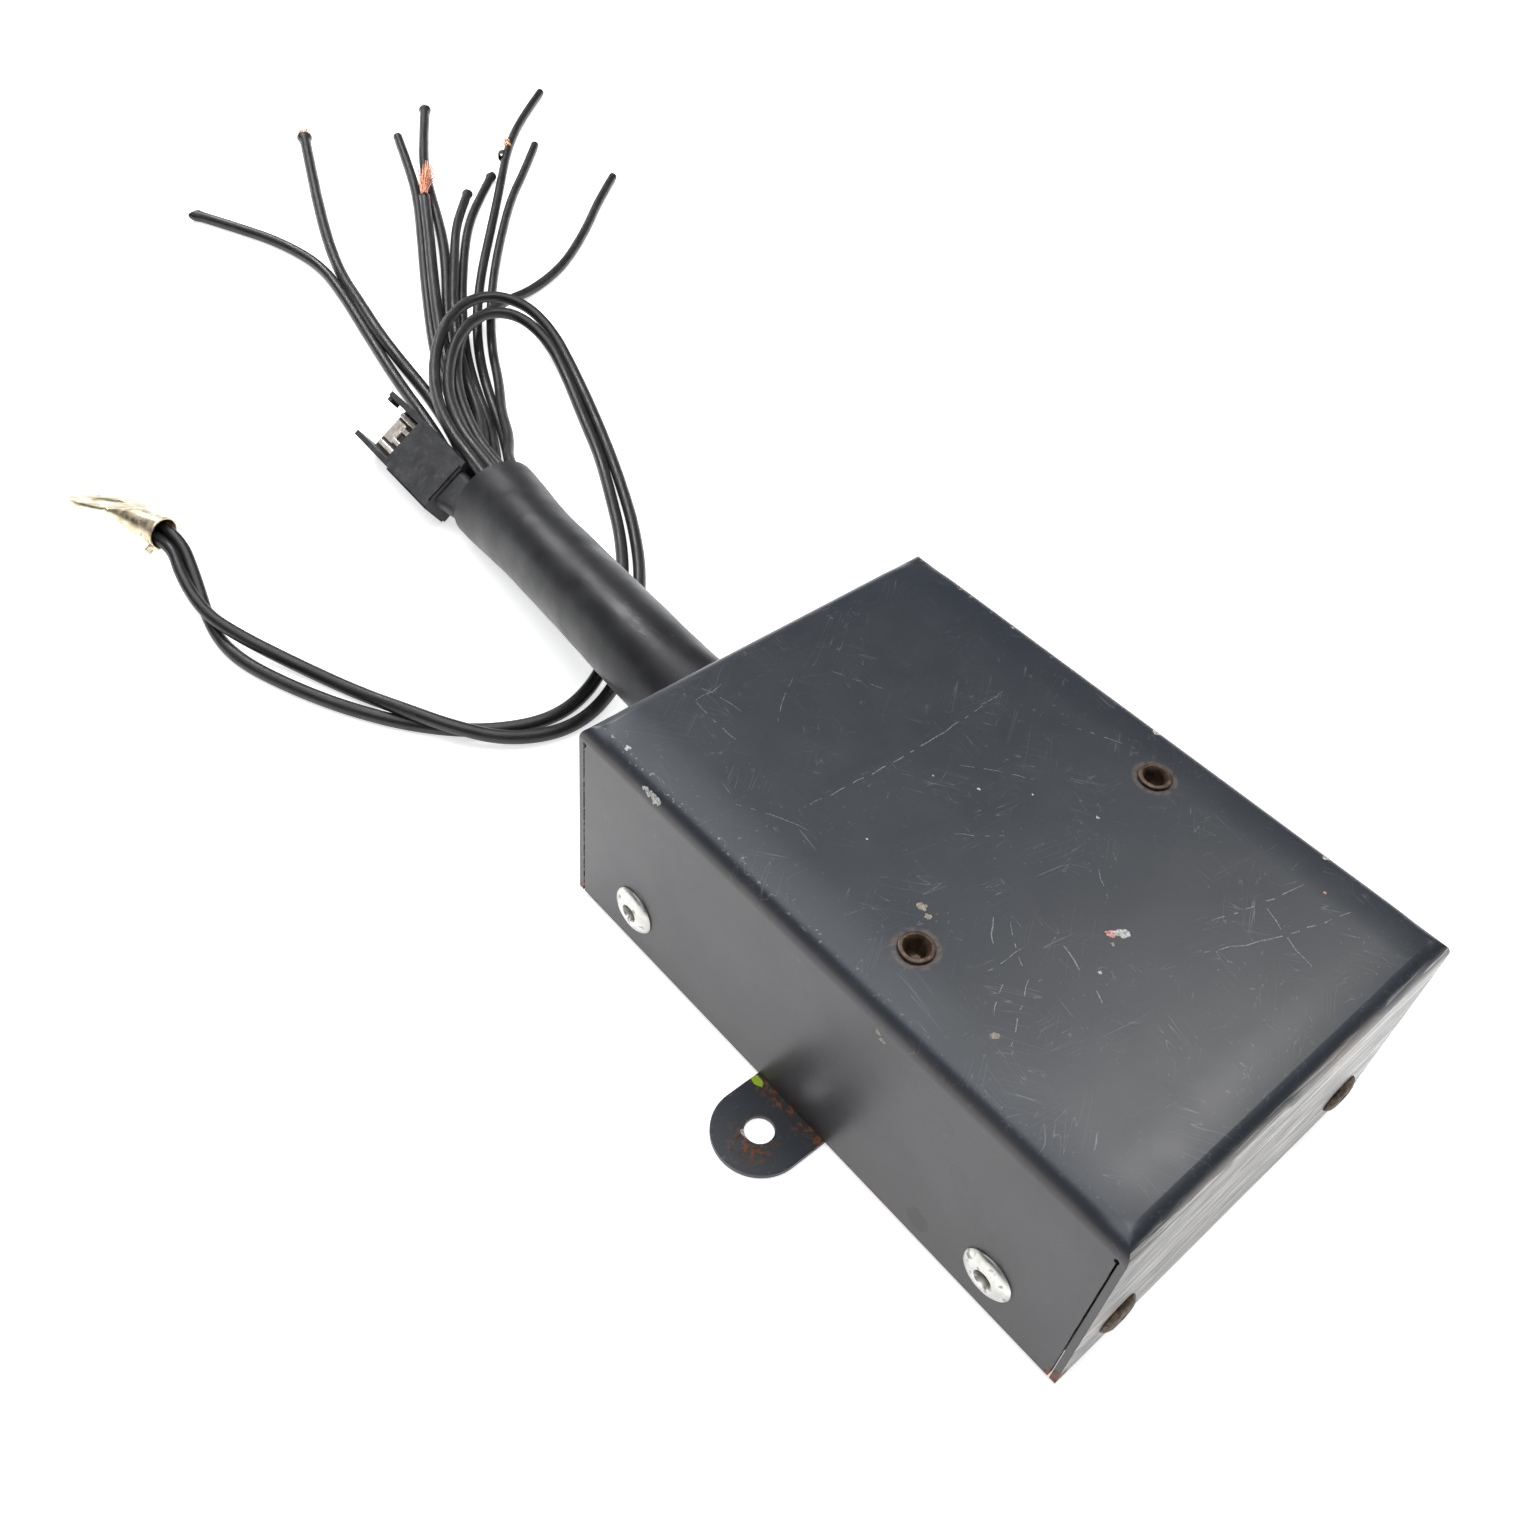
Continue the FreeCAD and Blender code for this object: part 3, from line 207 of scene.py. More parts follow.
# ---- material helpers -------------------------------------------------------
class Paint:
    """One procedural material; every method adds a node and gives back its output."""

    def __init__(self, name):
        self.data = bpy.data.materials.new(name)
        self.data.use_nodes = True
        self.tree = self.data.node_tree
        self.tree.nodes.clear()
        self.out = self.node("OutputMaterial")
        self.shader = self.node("BsdfPrincipled")
        self.tree.links.new(self.shader.outputs[0], self.out.inputs[0])
        place = self.node("TexCoord")
        self.at = self.vector("MULTIPLY", place.outputs["Object"], (1000, 1000, 1000))
        self.chatter = None

    def node(self, kind):
        return self.tree.nodes.new("ShaderNode" + kind)

    def feed(self, socket, value):
        if isinstance(value, bpy.types.NodeSocket):
            self.tree.links.new(value, socket)
        else:
            socket.default_value = value

    def vector(self, operation, a, b=None):
        node = self.node("VectorMath")
        node.operation = operation
        self.feed(node.inputs[0], a)
        if b is not None:
            self.feed(node.inputs[1], b)
        return node.outputs["Value" if operation in ("DOT_PRODUCT", "LENGTH") else "Vector"]

    def sum(self, operation, a, b=0.0, clamp=False):
        node = self.node("Math")
        node.operation = operation
        node.use_clamp = clamp
        self.feed(node.inputs[0], a)
        self.feed(node.inputs[1], b)
        return node.outputs[0]

    def size_of(self, value, shift=None):
        """Absolute value, after a shift where one is given."""
        return self.sum("ABSOLUTE", value if shift is None else self.sum("ADD", value, shift))

    def axis(self, index, source=None):
        node = self.node("SeparateXYZ")
        self.feed(node.inputs[0], source or self.at)
        return node.outputs[index]

    def facing(self):
        return self.node("NewGeometry").outputs["Normal"]

    def distance(self, point):
        return self.vector("LENGTH", self.vector("SUBTRACT", self.at, point))

    def noise(self, size, detail, stretch=(1, 1, 1), turn=0.0, wobble=0.0, roughness=0.55):
        """Cloudy pattern whose blobs are about size millimetres across."""
        node = self.node("TexNoise")
        node.inputs["Scale"].default_value = 1.0 / size
        node.inputs["Detail"].default_value = detail
        node.inputs["Roughness"].default_value = roughness
        node.inputs["Distortion"].default_value = wobble
        source = self.at
        if turn:
            spin = self.node("VectorRotate")
            spin.rotation_type = "Z_AXIS"
            spin.inputs["Angle"].default_value = math.radians(turn)
            self.feed(spin.inputs["Vector"], source)
            source = spin.outputs[0]
        if stretch != (1, 1, 1):
            source = self.vector("MULTIPLY", source, stretch)
        self.feed(node.inputs["Vector"], source)
        return node.outputs["Fac"]

    def step(self, value, low, high, to=(0.0, 1.0)):
        """Smooth change from one value to another as the input goes from low to high."""
        node = self.node("MapRange")
        node.interpolation_type = "SMOOTHSTEP"
        self.feed(node.inputs["Value"], value)
        node.inputs["From Min"].default_value = low
        node.inputs["From Max"].default_value = high
        node.inputs["To Min"].default_value = to[0]
        node.inputs["To Max"].default_value = to[1]
        return node.outputs[0]

    def cloud(self, size, detail, low, high, to=(0.0, 1.0), **shape):
        """Noise with its contrast set by a step."""
        return self.step(self.noise(size, detail, **shape), low, high, to)

    def mix(self, share, a, b):
        node = self.node("Mix")
        node.data_type = "RGBA"
        self.feed(node.inputs["Factor"], share)
        colours = [s for s in node.inputs if s.type == "RGBA"]
        for socket, colour in zip(colours, (a, b)):
            self.feed(socket, colour if isinstance(colour, bpy.types.NodeSocket) else (*colour, 1))
        return [s for s in node.outputs if s.type == "RGBA"][0]

    def tint(self, colour, mask, share, over):
        """Lay a second colour over the first, as strong as the share where the mask is full."""
        return self.mix(self.sum("MULTIPLY", mask, share), colour, over)

    def all_of(self, first, *others):
        for other in others:
            first = self.sum("MULTIPLY", first, other)
        return first

    def any_of(self, first, *others):
        for other in others:
            first = self.sum("MAXIMUM", first, other)
        return first

    def blob(self, centre, radii, ragged):
        """Mask of a ragged spot about a point."""
        from_centre = self.vector("SUBTRACT", self.at, centre)
        distance = self.vector("LENGTH", self.vector("DIVIDE", from_centre, radii))
        if self.chatter is None:
            self.chatter = self.noise(0.9, 4.0)
        edge = self.sum("MULTIPLY", self.chatter, ragged)
        return self.step(self.sum("ADD", distance, edge), 1.0 + ragged * 0.5, 0.86 + ragged * 0.5)

    def finish(self, colour, rough, metal, bumps, specular=None):
        """Connect the results; bumps is a list of (height, strength, depth in millimetres)."""
        self.feed(self.shader.inputs["Base Color"], colour)
        self.feed(self.shader.inputs["Roughness"], rough)
        self.feed(self.shader.inputs["Metallic"], metal)
        if specular is not None:
            self.shader.inputs["Specular IOR Level"].default_value = specular
        normal = None
        for height, strength, depth in bumps:
            node = self.node("Bump")
            node.inputs["Strength"].default_value = strength
            node.inputs["Distance"].default_value = depth * MM
            self.feed(node.inputs["Height"], height)
            if normal is not None:
                self.feed(node.inputs["Normal"], normal)
            normal = node.outputs[0]
        self.feed(self.shader.inputs["Normal"], normal)
        return self.data


# ---- materials --------------------------------------------------------------
def case_paint(name, tray=False):
    """Blue-grey satin coat, with its side faces painted a lighter warm grey as painted light; scratched and
    dusty on top, stained on its ends, rusty at low edges.
    """
    p = Paint(name)
    cloudy = p.cloud(22, 4.0, 0.35, 0.65)
    colour = p.mix(cloudy, (0.019, 0.024, 0.031), (0.024, 0.029, 0.036))
    x, y, z = (p.axis(index) for index in range(3))
    facing = p.facing()
    upward = p.step(p.axis(2, facing), 0.45, 0.9)
    sides_painted_lighter = p.step(p.size_of(p.axis(0, facing)), 0.6, 0.95)
    endways = p.step(p.size_of(p.axis(1, facing)), 0.6, 0.95)
    # Painted light: the side faces get a lighter warm grey than the top, standing in for the light that falls
    # on them.
    colour = p.mix(sides_painted_lighter, colour, p.mix(cloudy, (0.040, 0.038, 0.040), (0.050, 0.047, 0.049)))
    rust = p.mix(p.cloud(1.4, 5.0, 0.4, 0.6), (0.060, 0.022, 0.009), (0.20, 0.075, 0.028))
    bare = p.mix(p.cloud(0.55, 2.0, 0.4, 0.6), (0.30, 0.29, 0.27), (0.62, 0.61, 0.58))

    drift = p.cloud(13, 4.0, 0.42, 0.68, wobble=0.6)
    specks = p.all_of(p.cloud(0.75, 2.0, 0.66, 0.76, roughness=0.4), drift, upward)
    colour = p.tint(colour, specks, 0.38, (0.17, 0.185, 0.20))
    hairs = []
    for turn, size in ((12, 2.0), (55, 2.6), (100, 2.2), (148, 3.0)):
        field = p.noise(size, 1.0, stretch=(0.09, 1.5, 1), turn=turn, wobble=0.35)
        thin = p.step(p.sum("ABSOLUTE", p.sum("SUBTRACT", field, 0.5)), 0.006, 0.001)
        hairs.append(p.all_of(thin, p.cloud(size * 4, 3.0, 0.53, 0.63, turn=turn + 31)))
    hair = p.all_of(p.any_of(*hairs), p.step(p.axis(2, facing), -0.2, 0.8, to=(0.3, 1.0)))
    colour = p.tint(colour, hair, 0.34, (0.22, 0.23, 0.24))
    rough = p.cloud(9, 4.0, 0.3, 0.7, to=(0.33, 0.37))
    dents = p.noise(34, 2.0)
    grain = p.noise(0.45, 2.0)

    if tray:
        root = p.step(p.size_of(p.size_of(x), -41.9), 2.4, 0.2)
        patch = p.cloud(1.0, 5.0, 0.46, 0.56)
        hole = p.distance((-50.6, -1.0, 1.2))
        scab = p.all_of(p.step(hole, 6.0, 1.0), p.cloud(0.8, 5.0, 0.50, 0.56))
        rusty = p.any_of(p.all_of(root, patch), scab)
        colour = p.mix(rusty, colour, rust)
        colour = p.mix(p.blob((-42.2, 7.4, 1.3), (0.8, 1.6, 0.9), 0.9), colour, (0.42, 0.62, 0.02))
        colour = p.mix(p.blob((-50.5, 0.9, 1.2), (0.5, 1.1, 0.6), 0.6), colour, bare)
        rough = p.mix(rusty, (0.42,) * 3, (0.85,) * 3)
        return p.finish(colour, rough, 0.0, [(dents, 0.15, 1.0), (grain, 0.10, 0.06), (rusty, 0.5, 0.06)])

    label = p.all_of(
        p.step(x, -22.7, -22.0), p.step(x, 25.4, 24.6), p.step(y, 22.1, 22.8), p.step(y, 53.0, 51.6), upward)
    tarnish = p.cloud(3.2, 5.0, 0.35, 0.65, to=(0.15, 0.5))
    colour = p.mix(p.all_of(label, tarnish), colour, (0.018, 0.020, 0.023))

    scuffed = p.all_of(endways, p.cloud(4.5, 5.0, 0.36, 0.60, stretch=(0.35, 1, 0.9), wobble=0.5))
    colour = p.tint(colour, scuffed, 0.8, (0.20, 0.185, 0.16))
    streaky = p.all_of(endways, p.cloud(1.1, 5.0, 0.50, 0.60, stretch=(0.07, 1, 1.2), wobble=0.8))
    colour = p.tint(colour, streaky, 0.75, (0.62, 0.60, 0.56))
    stained = p.all_of(endways, p.cloud(6, 5.0, 0.54, 0.66, stretch=(0.3, 1, 0.8)))
    colour = p.tint(colour, stained, 0.45, (0.17, 0.105, 0.070))

    rings = []
    for side in (-1, 1):
        distance = p.distance((side * TOP_RIVET_X, TOP_RIVET_Y, CASE_Z))
        rings.append(p.step(p.size_of(distance, -3.5), 0.75, 0.15))
    ring = p.all_of(p.any_of(*rings), p.cloud(1.3, 4.0, 0.34, 0.56))
    colour = p.tint(colour, ring, 0.7, (0.10, 0.075, 0.058))

    smudge = p.blob((-41.0, -29.4, 6.2), (1.5, 2.5, 2.8), 0.5)
    colour = p.tint(colour, smudge, 0.75, (0.012, 0.011, 0.012))
    far_bend = p.all_of(p.step(y, 59.1, 59.6), p.step(z, 44.0, 44.6), p.cloud(2.4, 4.0, 0.42, 0.50))
    long_bend = p.all_of(
        p.step(p.size_of(x), 37.6, 38.4), p.step(z, 44.2, 44.8), p.cloud(0.9, 4.0, 0.60, 0.68),
        p.step(y, -30.0, 40.0, to=(0.25, 1.0)))
    low_edge = p.all_of(p.step(z, 2.3, 1.3), p.cloud(2.0, 4.0, 0.50, 0.60))
    colour = p.mix(p.any_of(far_bend, p.sum("MULTIPLY", long_bend, 0.5)), colour, bare)
    corner = p.any_of(
        p.blob((-41.0, -60.0, 1.8), (2.6, 2.6, 3.4), 0.9), p.blob((-41.0, 60.0, 1.6), (1.4, 1.4, 2.0), 0.9),
        p.blob((41.0, -60.0, 1.8), (2.6, 2.6, 3.0), 0.9), p.sum("MULTIPLY", low_edge, 0.7))
    colour = p.mix(corner, colour, rust)
    worn = p.any_of(corner, far_bend)
    return p.finish(
        colour, p.sum("ADD", rough, p.sum("MULTIPLY", worn, 0.2), True), 0.0,
        [(dents, 0.10, 1.2), (grain, 0.08, 0.04), (hair, -0.25, 0.04), (streaky, 0.5, 0.06)])


def metal_paint(name, dark, light, rough, size, bump, dirt=None, metallic=1.0):
    """Bare or plated metal with patches, fine marks and optional grime."""
    p = Paint(name)
    colour = p.mix(p.cloud(size, 5.0, 0.35, 0.65), dark, light)
    marks = p.cloud(size * 0.25, 3.0, 0.45, 0.70, stretch=(0.3, 1, 1), turn=35)
    colour = p.tint(colour, marks, 0.3, dark)
    shine = p.cloud(size * 0.6, 4.0, 0.3, 0.7, to=(rough * 0.75, rough * 1.3))
    metal = metallic
    if dirt:
        grime = p.cloud(size * 0.5, 5.0, 0.56, 0.66)
        colour = p.mix(grime, colour, dirt)
        metal = p.step(grime, 0.0, 1.0, to=(metallic, metallic * 0.2))
    return p.finish(colour, shine, metal, [(p.noise(size * 0.4, 4.0), bump, 0.12), (marks, 0.15, 0.03)])


def plastic_paint(name, dark, light, rough, size, bump=0.25, dust=0.0, dust_colour=None):
    """Moulded plastic or rubber with a slight grain, and dust that lies on upward faces."""
    p = Paint(name)
    colour = p.mix(p.cloud(size, 4.0, 0.35, 0.65), dark, light)
    if dust:
        settled = p.step(p.axis(2, p.facing()), 0.25, 0.95)
        patchy = p.cloud(size * 0.35, 6.0, 0.46, 0.70, roughness=0.7)
        colour = p.tint(colour, p.all_of(settled, patchy), dust, dust_colour)
    shine = p.cloud(size * 0.7, 3.0, 0.3, 0.7, to=(rough * 0.85, rough * 1.15))
    return p.finish(colour, shine, 0.0, [(p.noise(0.28, 2.0), bump, 0.03), (p.noise(size, 2.0), 0.12, 0.3)])


def sleeve_paint(name):
    """Matte black rubber with a lighter upper ridge, partly dusty scuffs and partly a painted highlight, fine
    lengthwise lines and pale specks.
    """
    p = Paint(name)
    colour = p.mix(p.cloud(12, 4.0, 0.35, 0.65), (0.012, 0.012, 0.013), (0.018, 0.018, 0.019))
    facing = p.facing()
    crest_sheen_mask = p.step(p.vector("DOT_PRODUCT", facing, (-0.20, -0.05, 0.97)), 0.945, 1.0)
    y = p.axis(1)
    near_mouth = p.step(p.size_of(y, -140.0), 26.0, 8.0)
    middle = p.step(p.size_of(y, -92.0), 20.0, 4.0)
    scuffs = p.cloud(1.3, 5.0, 0.50, 0.64, stretch=(1, 0.35, 1), roughness=0.7)
    # The lighter grey on the upper ridge is partly dust and scuffs and partly a painted highlight, placed
    # where the sheen falls.
    worn = p.all_of(crest_sheen_mask, p.any_of(near_mouth, middle), scuffs)
    colour = p.tint(colour, worn, 0.7, (0.24, 0.24, 0.24))
    film = p.all_of(p.step(p.axis(2, facing), 0.2, 1.0), p.cloud(7, 5.0, 0.4, 0.7))
    colour = p.tint(colour, film, 0.06, (0.08, 0.076, 0.072))
    colour = p.tint(colour, p.cloud(0.8, 2.0, 0.72, 0.78), 0.5, (0.20, 0.19, 0.18))
    lines = p.noise(1.2, 3.0, stretch=(1.2, 0.06, 1.2))
    rough = p.cloud(8, 4.0, 0.3, 0.7, to=(0.33, 0.43))
    bumps = [(lines, 0.25, 0.10), (p.noise(14, 2.0), 0.35, 0.8), (worn, 0.3, 0.05)]
    return p.finish(colour, rough, 0.0, bumps, specular=0.28)


def insulation_paint(name):
    """Thin-wall vinyl: satin black, faintly ribbed by the strands, with dusty smears."""
    p = Paint(name)
    colour = p.mix(p.cloud(9, 3.0, 0.4, 0.6), (0.010, 0.009, 0.009), (0.015, 0.014, 0.014))
    smears = p.all_of(p.step(p.axis(2, p.facing()), 0.3, 1.0), p.cloud(3.0, 6.0, 0.5, 0.7, roughness=0.7))
    colour = p.tint(colour, smears, 0.22, (0.085, 0.078, 0.072))
    rough = p.cloud(6, 4.0, 0.3, 0.7, to=(0.36, 0.50))
    return p.finish(colour, rough, 0.0, [(p.noise(0.9, 3.0), 0.25, 0.08), (p.noise(5, 2.0), 0.3, 0.25)])


def copper_paint(name):
    """Fresh pinkish copper strands, darker between them."""
    p = Paint(name)
    colour = p.mix(p.cloud(0.7, 4.0, 0.35, 0.65), (0.62, 0.22, 0.11), (0.95, 0.50, 0.34))
    colour = p.tint(colour, p.cloud(1.6, 4.0, 0.58, 0.68), 0.5, (0.30, 0.10, 0.05))
    rough = p.cloud(0.5, 3.0, 0.3, 0.7, to=(0.28, 0.42))
    return p.finish(colour, rough, 0.85, [(p.noise(0.25, 2.0), 0.2, 0.03)])


def winding_paint(name):
    """Enamelled wire laid in even turns round the bobbin."""
    p = Paint(name)
    turns = p.sum("SINE", p.sum("MULTIPLY", p.axis(2), FULL_TURN / 0.45))
    colour = p.mix(p.step(turns, -0.8, 0.6), (0.16, 0.045, 0.015), (0.50, 0.19, 0.07))
    return p.finish(colour, p.cloud(3, 3.0, 0.3, 0.7, to=(0.25, 0.35)), 0.7, [(turns, 0.6, 0.08)])


def mark_paint(name, dark, light):
    """Small marks on the case: dry paint flecks and dulled scratch grooves."""
    p = Paint(name)
    colour = p.mix(p.cloud(0.35, 4.0, 0.38, 0.62), dark, light)
    rough = p.cloud(0.6, 2.0, 0.3, 0.7, to=(0.45, 0.65))
    return p.finish(colour, rough, 0.0, [(p.noise(0.3, 3.0), 0.5, 0.06)])


PAINTS = [
    (case_paint, "case_paint"),
    (case_paint, "tray_paint", True),
    (mark_paint, "scratch_groove", (0.085, 0.090, 0.095), (0.23, 0.235, 0.24)),
    (mark_paint, "white_chip", (0.24, 0.235, 0.225), (0.56, 0.55, 0.53)),
    (mark_paint, "beige_chip", (0.16, 0.135, 0.10), (0.30, 0.265, 0.20)),
    (mark_paint, "red_chip", (0.34, 0.09, 0.07), (0.60, 0.32, 0.28)),
    (metal_paint, "bright_rivet", (0.56, 0.55, 0.51), (0.78, 0.77, 0.73), 0.34, 3.4, 0.25,
     (0.30, 0.28, 0.24)),
    (metal_paint, "rusty_rivet", (0.030, 0.021, 0.012), (0.105, 0.070, 0.036), 0.60, 1.6, 0.6,
     (0.16, 0.10, 0.06), 0.35),
    (metal_paint, "hollow_rivet", (0.040, 0.024, 0.016), (0.125, 0.078, 0.050), 0.46, 1.3, 0.5,
     (0.03, 0.02, 0.014), 0.45),
    (metal_paint, "zinc_steel", (0.42, 0.42, 0.40), (0.66, 0.66, 0.63), 0.34, 3.0, 0.2),
    (metal_paint, "spring_brass", (0.62, 0.44, 0.18), (0.84, 0.66, 0.33), 0.28, 2.0, 0.2),
    (metal_paint, "contact_metal", (0.70, 0.60, 0.48), (0.96, 0.92, 0.86), 0.30, 1.5, 0.2, None, 0.35),
    (metal_paint, "terminal_brass", (0.58, 0.49, 0.32), (0.82, 0.75, 0.57), 0.36, 3.0, 0.25,
     (0.40, 0.31, 0.19)),
    (plastic_paint, "breaker_case", (0.022, 0.022, 0.025), (0.034, 0.034, 0.038), 0.30, 6.0),
    (plastic_paint, "board_green", (0.010, 0.085, 0.035), (0.022, 0.15, 0.06), 0.28, 3.0),
    (plastic_paint, "terminal_green", (0.035, 0.17, 0.085), (0.06, 0.26, 0.13), 0.45, 5.0),
    (plastic_paint, "relay_plastic", (0.48, 0.43, 0.31), (0.60, 0.55, 0.43), 0.42, 5.0),
    (plastic_paint, "tie_nylon", (0.014, 0.014, 0.014), (0.024, 0.024, 0.024), 0.38, 4.0),
    (plastic_paint, "connector_black", (0.024, 0.024, 0.026), (0.036, 0.036, 0.038), 0.50, 5.0, 0.4, 0.35,
     (0.12, 0.115, 0.11)),
    (sleeve_paint, "sleeve_rubber"),
    (insulation_paint, "wire_insulation"),
    (winding_paint, "magnet_wire"),
    (copper_paint, "bare_copper")]
MATERIALS = {name: kind(name, *settings) for kind, name, *settings in PAINTS}


# ---- mesh helpers -----------------------------------------------------------
def add_piece(name, bm, slot, unit=MM, sharp=35.0, finish=None, flat_faces=False, stands_for=None):
    """Turn a bmesh into a piece that rides on a body; flat_faces keeps wide faces flat in shading."""
    bmesh.ops.recalc_face_normals(bm, faces=bm.faces)
    mesh = bpy.data.meshes.new(name)
    bm.to_mesh(mesh)
    bm.free()
    mesh.transform(Matrix.Scale(unit, 4))
    mesh.shade_smooth()
    mesh.set_sharp_from_angle(angle=math.radians(sharp))
    piece = linked(name, mesh)
    if flat_faces:
        weigh = piece.modifiers.new("weigh", "WEIGHTED_NORMAL")
        weigh.keep_sharp = True
        graph = bpy.context.evaluated_depsgraph_get()
        mesh = bpy.data.meshes.new_from_object(piece.evaluated_get(graph))
        piece.modifiers.clear()
        piece.data = mesh
    mesh.materials.append(MATERIALS[finish or slot])
    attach(piece, "case")
    if stands_for:
        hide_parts(stands_for)
    return piece


def turn_about(side, other, count):
    """Angles and unit spokes round a circle, from side towards other."""
    for k in range(count):
        angle = FULL_TURN * k / count
        yield angle, side * math.cos(angle) + other * math.sin(angle)


def beside(direction):
    """Two directions square to the one given."""
    side = direction.orthogonal().normalized()
    return side, direction.cross(side)


def skin(rings, ends=(False, False), bm=None):
    """Faces through closed rings of points."""
    bm = bm or bmesh.new()
    rows = [[bm.verts.new(point) for point in ring] for ring in rings]
    count = len(rows[0])
    for low, high in zip(rows, rows[1:]):
        for k in range(count):
            n = (k + 1) % count
            bm.faces.new((low[k], low[n], high[n], high[k]))
    if ends[0]:
        bm.faces.new(list(reversed(rows[0])))
    if ends[1]:
        bm.faces.new(rows[-1])
    return bm


def turned(profile, seat, outward, segments=56, uneven=0.0, seed=0, base=True):
    """Surface of revolution about a direction, from (radius, height) pairs."""
    outward = Vector(outward).normalized()
    side, other = beside(outward)
    shift = Vector((seed * 7.3, seed * 3.1, 0.0))
    rings = []
    for radius, height in profile:
        ring = []
        for _, spoke in turn_about(side, other, segments):
            sway = noise.noise(spoke * max(radius, 0.4) * 0.7 + shift + outward * height * 0.5)
            swelling = 1.0 + uneven * sway / max(radius, 1.0)
            raised = height + uneven * 0.35 * sway
            ring.append(Vector(seat) + spoke * (radius * swelling) + outward * raised)
        rings.append(ring)
    return skin(rings, ends=(base, True))


def box_mesh(low, high, rounded=0.0, steps=6, choose=None):
    """Box in millimetres; the chosen edges are rounded."""
    bm = bmesh.new()
    bmesh.ops.create_cube(bm, size=1.0)
    for vert in bm.verts:
        vert.co = Vector([low[k] if vert.co[k] < 0 else high[k] for k in range(3)])
    if rounded:
        edges = [e for e in bm.edges if choose is None or choose((e.verts[0].co + e.verts[1].co) / 2)]
        bmesh.ops.bevel(bm, geom=edges, offset=rounded, segments=steps, profile=0.5, affect="EDGES")
    return bm


def bar_mesh(start, axis, radius, length, segments):
    return turned([(radius, 0.0), (radius, length)], start, axis, segments)


def loose_object(name, bm):
    mesh = bpy.data.meshes.new(name)
    bmesh.ops.recalc_face_normals(bm, faces=bm.faces)
    bm.to_mesh(mesh)
    bm.free()
    return linked(name, mesh)


def carve(base, steps, softened):
    """Join or cut solids one after another, then soften the sharp edges; gives one bmesh."""
    body = loose_object("work", base)
    helpers = []
    for operation, tool in steps:
        helper = loose_object("tool", tool)
        helpers.append(helper)
        change = body.modifiers.new("join", "BOOLEAN")
        change.operation = operation
        change.solver = "EXACT"
        change.object = helper
    bevel = body.modifiers.new("soften", "BEVEL")
    bevel.width = softened
    bevel.segments = 2
    bevel.limit_method = "ANGLE"
    bevel.angle_limit = math.radians(40)
    bevel.use_clamp_overlap = True
    graph = bpy.context.evaluated_depsgraph_get()
    mesh = bpy.data.meshes.new_from_object(body.evaluated_get(graph))
    result = bmesh.new()
    result.from_mesh(mesh)
    for spare in [body] + helpers:
        bpy.data.objects.remove(spare)
    return result


# ---- case -------------------------------------------------------------------
def crown_drop(spot):
    """How far the cover sits below a flat top at this spot, towards its four bends: at most 1 mm."""
    held = min(1.0, max(0.0, (spot.z - CASE_Z + 9.0) / 5.0))
    fall = 0.0
    for distance in (CASE_X / 2 - abs(spot.x), CASE_Y / 2 - abs(spot.y)):
        fall += min(1.0, max(0.0, (CROWN_WIDTH - distance) / CROWN_WIDTH)) ** 2
    return min(1.0, fall) * held


def lowered(bm):
    for vert in bm.verts:
        vert.co.z -= crown_drop(vert.co)
    return bm


def crowned(bm):
    """Cut the flat top into strips and let it fall away softly towards its four bends."""
    for axis, reach in ((0, CASE_X / 2), (1, CASE_Y / 2)):
        across = Vector((0, 0, 0))
        across[axis] = 1.0
        for inward in CROWN_CUTS:
            for side in (-1, 1):
                place = across * (side * (reach - inward))
                parts = bm.verts[:] + bm.edges[:] + bm.faces[:]
                bmesh.ops.bisect_plane(bm, geom=parts, plane_co=place, plane_no=across)
    return lowered(bm)


def slab(xs, ys, zs):
    """Box between two values on each axis, given in either order."""
    low, high = zip(sorted(xs), sorted(ys), sorted(zs))
    return box_mesh(low, high)


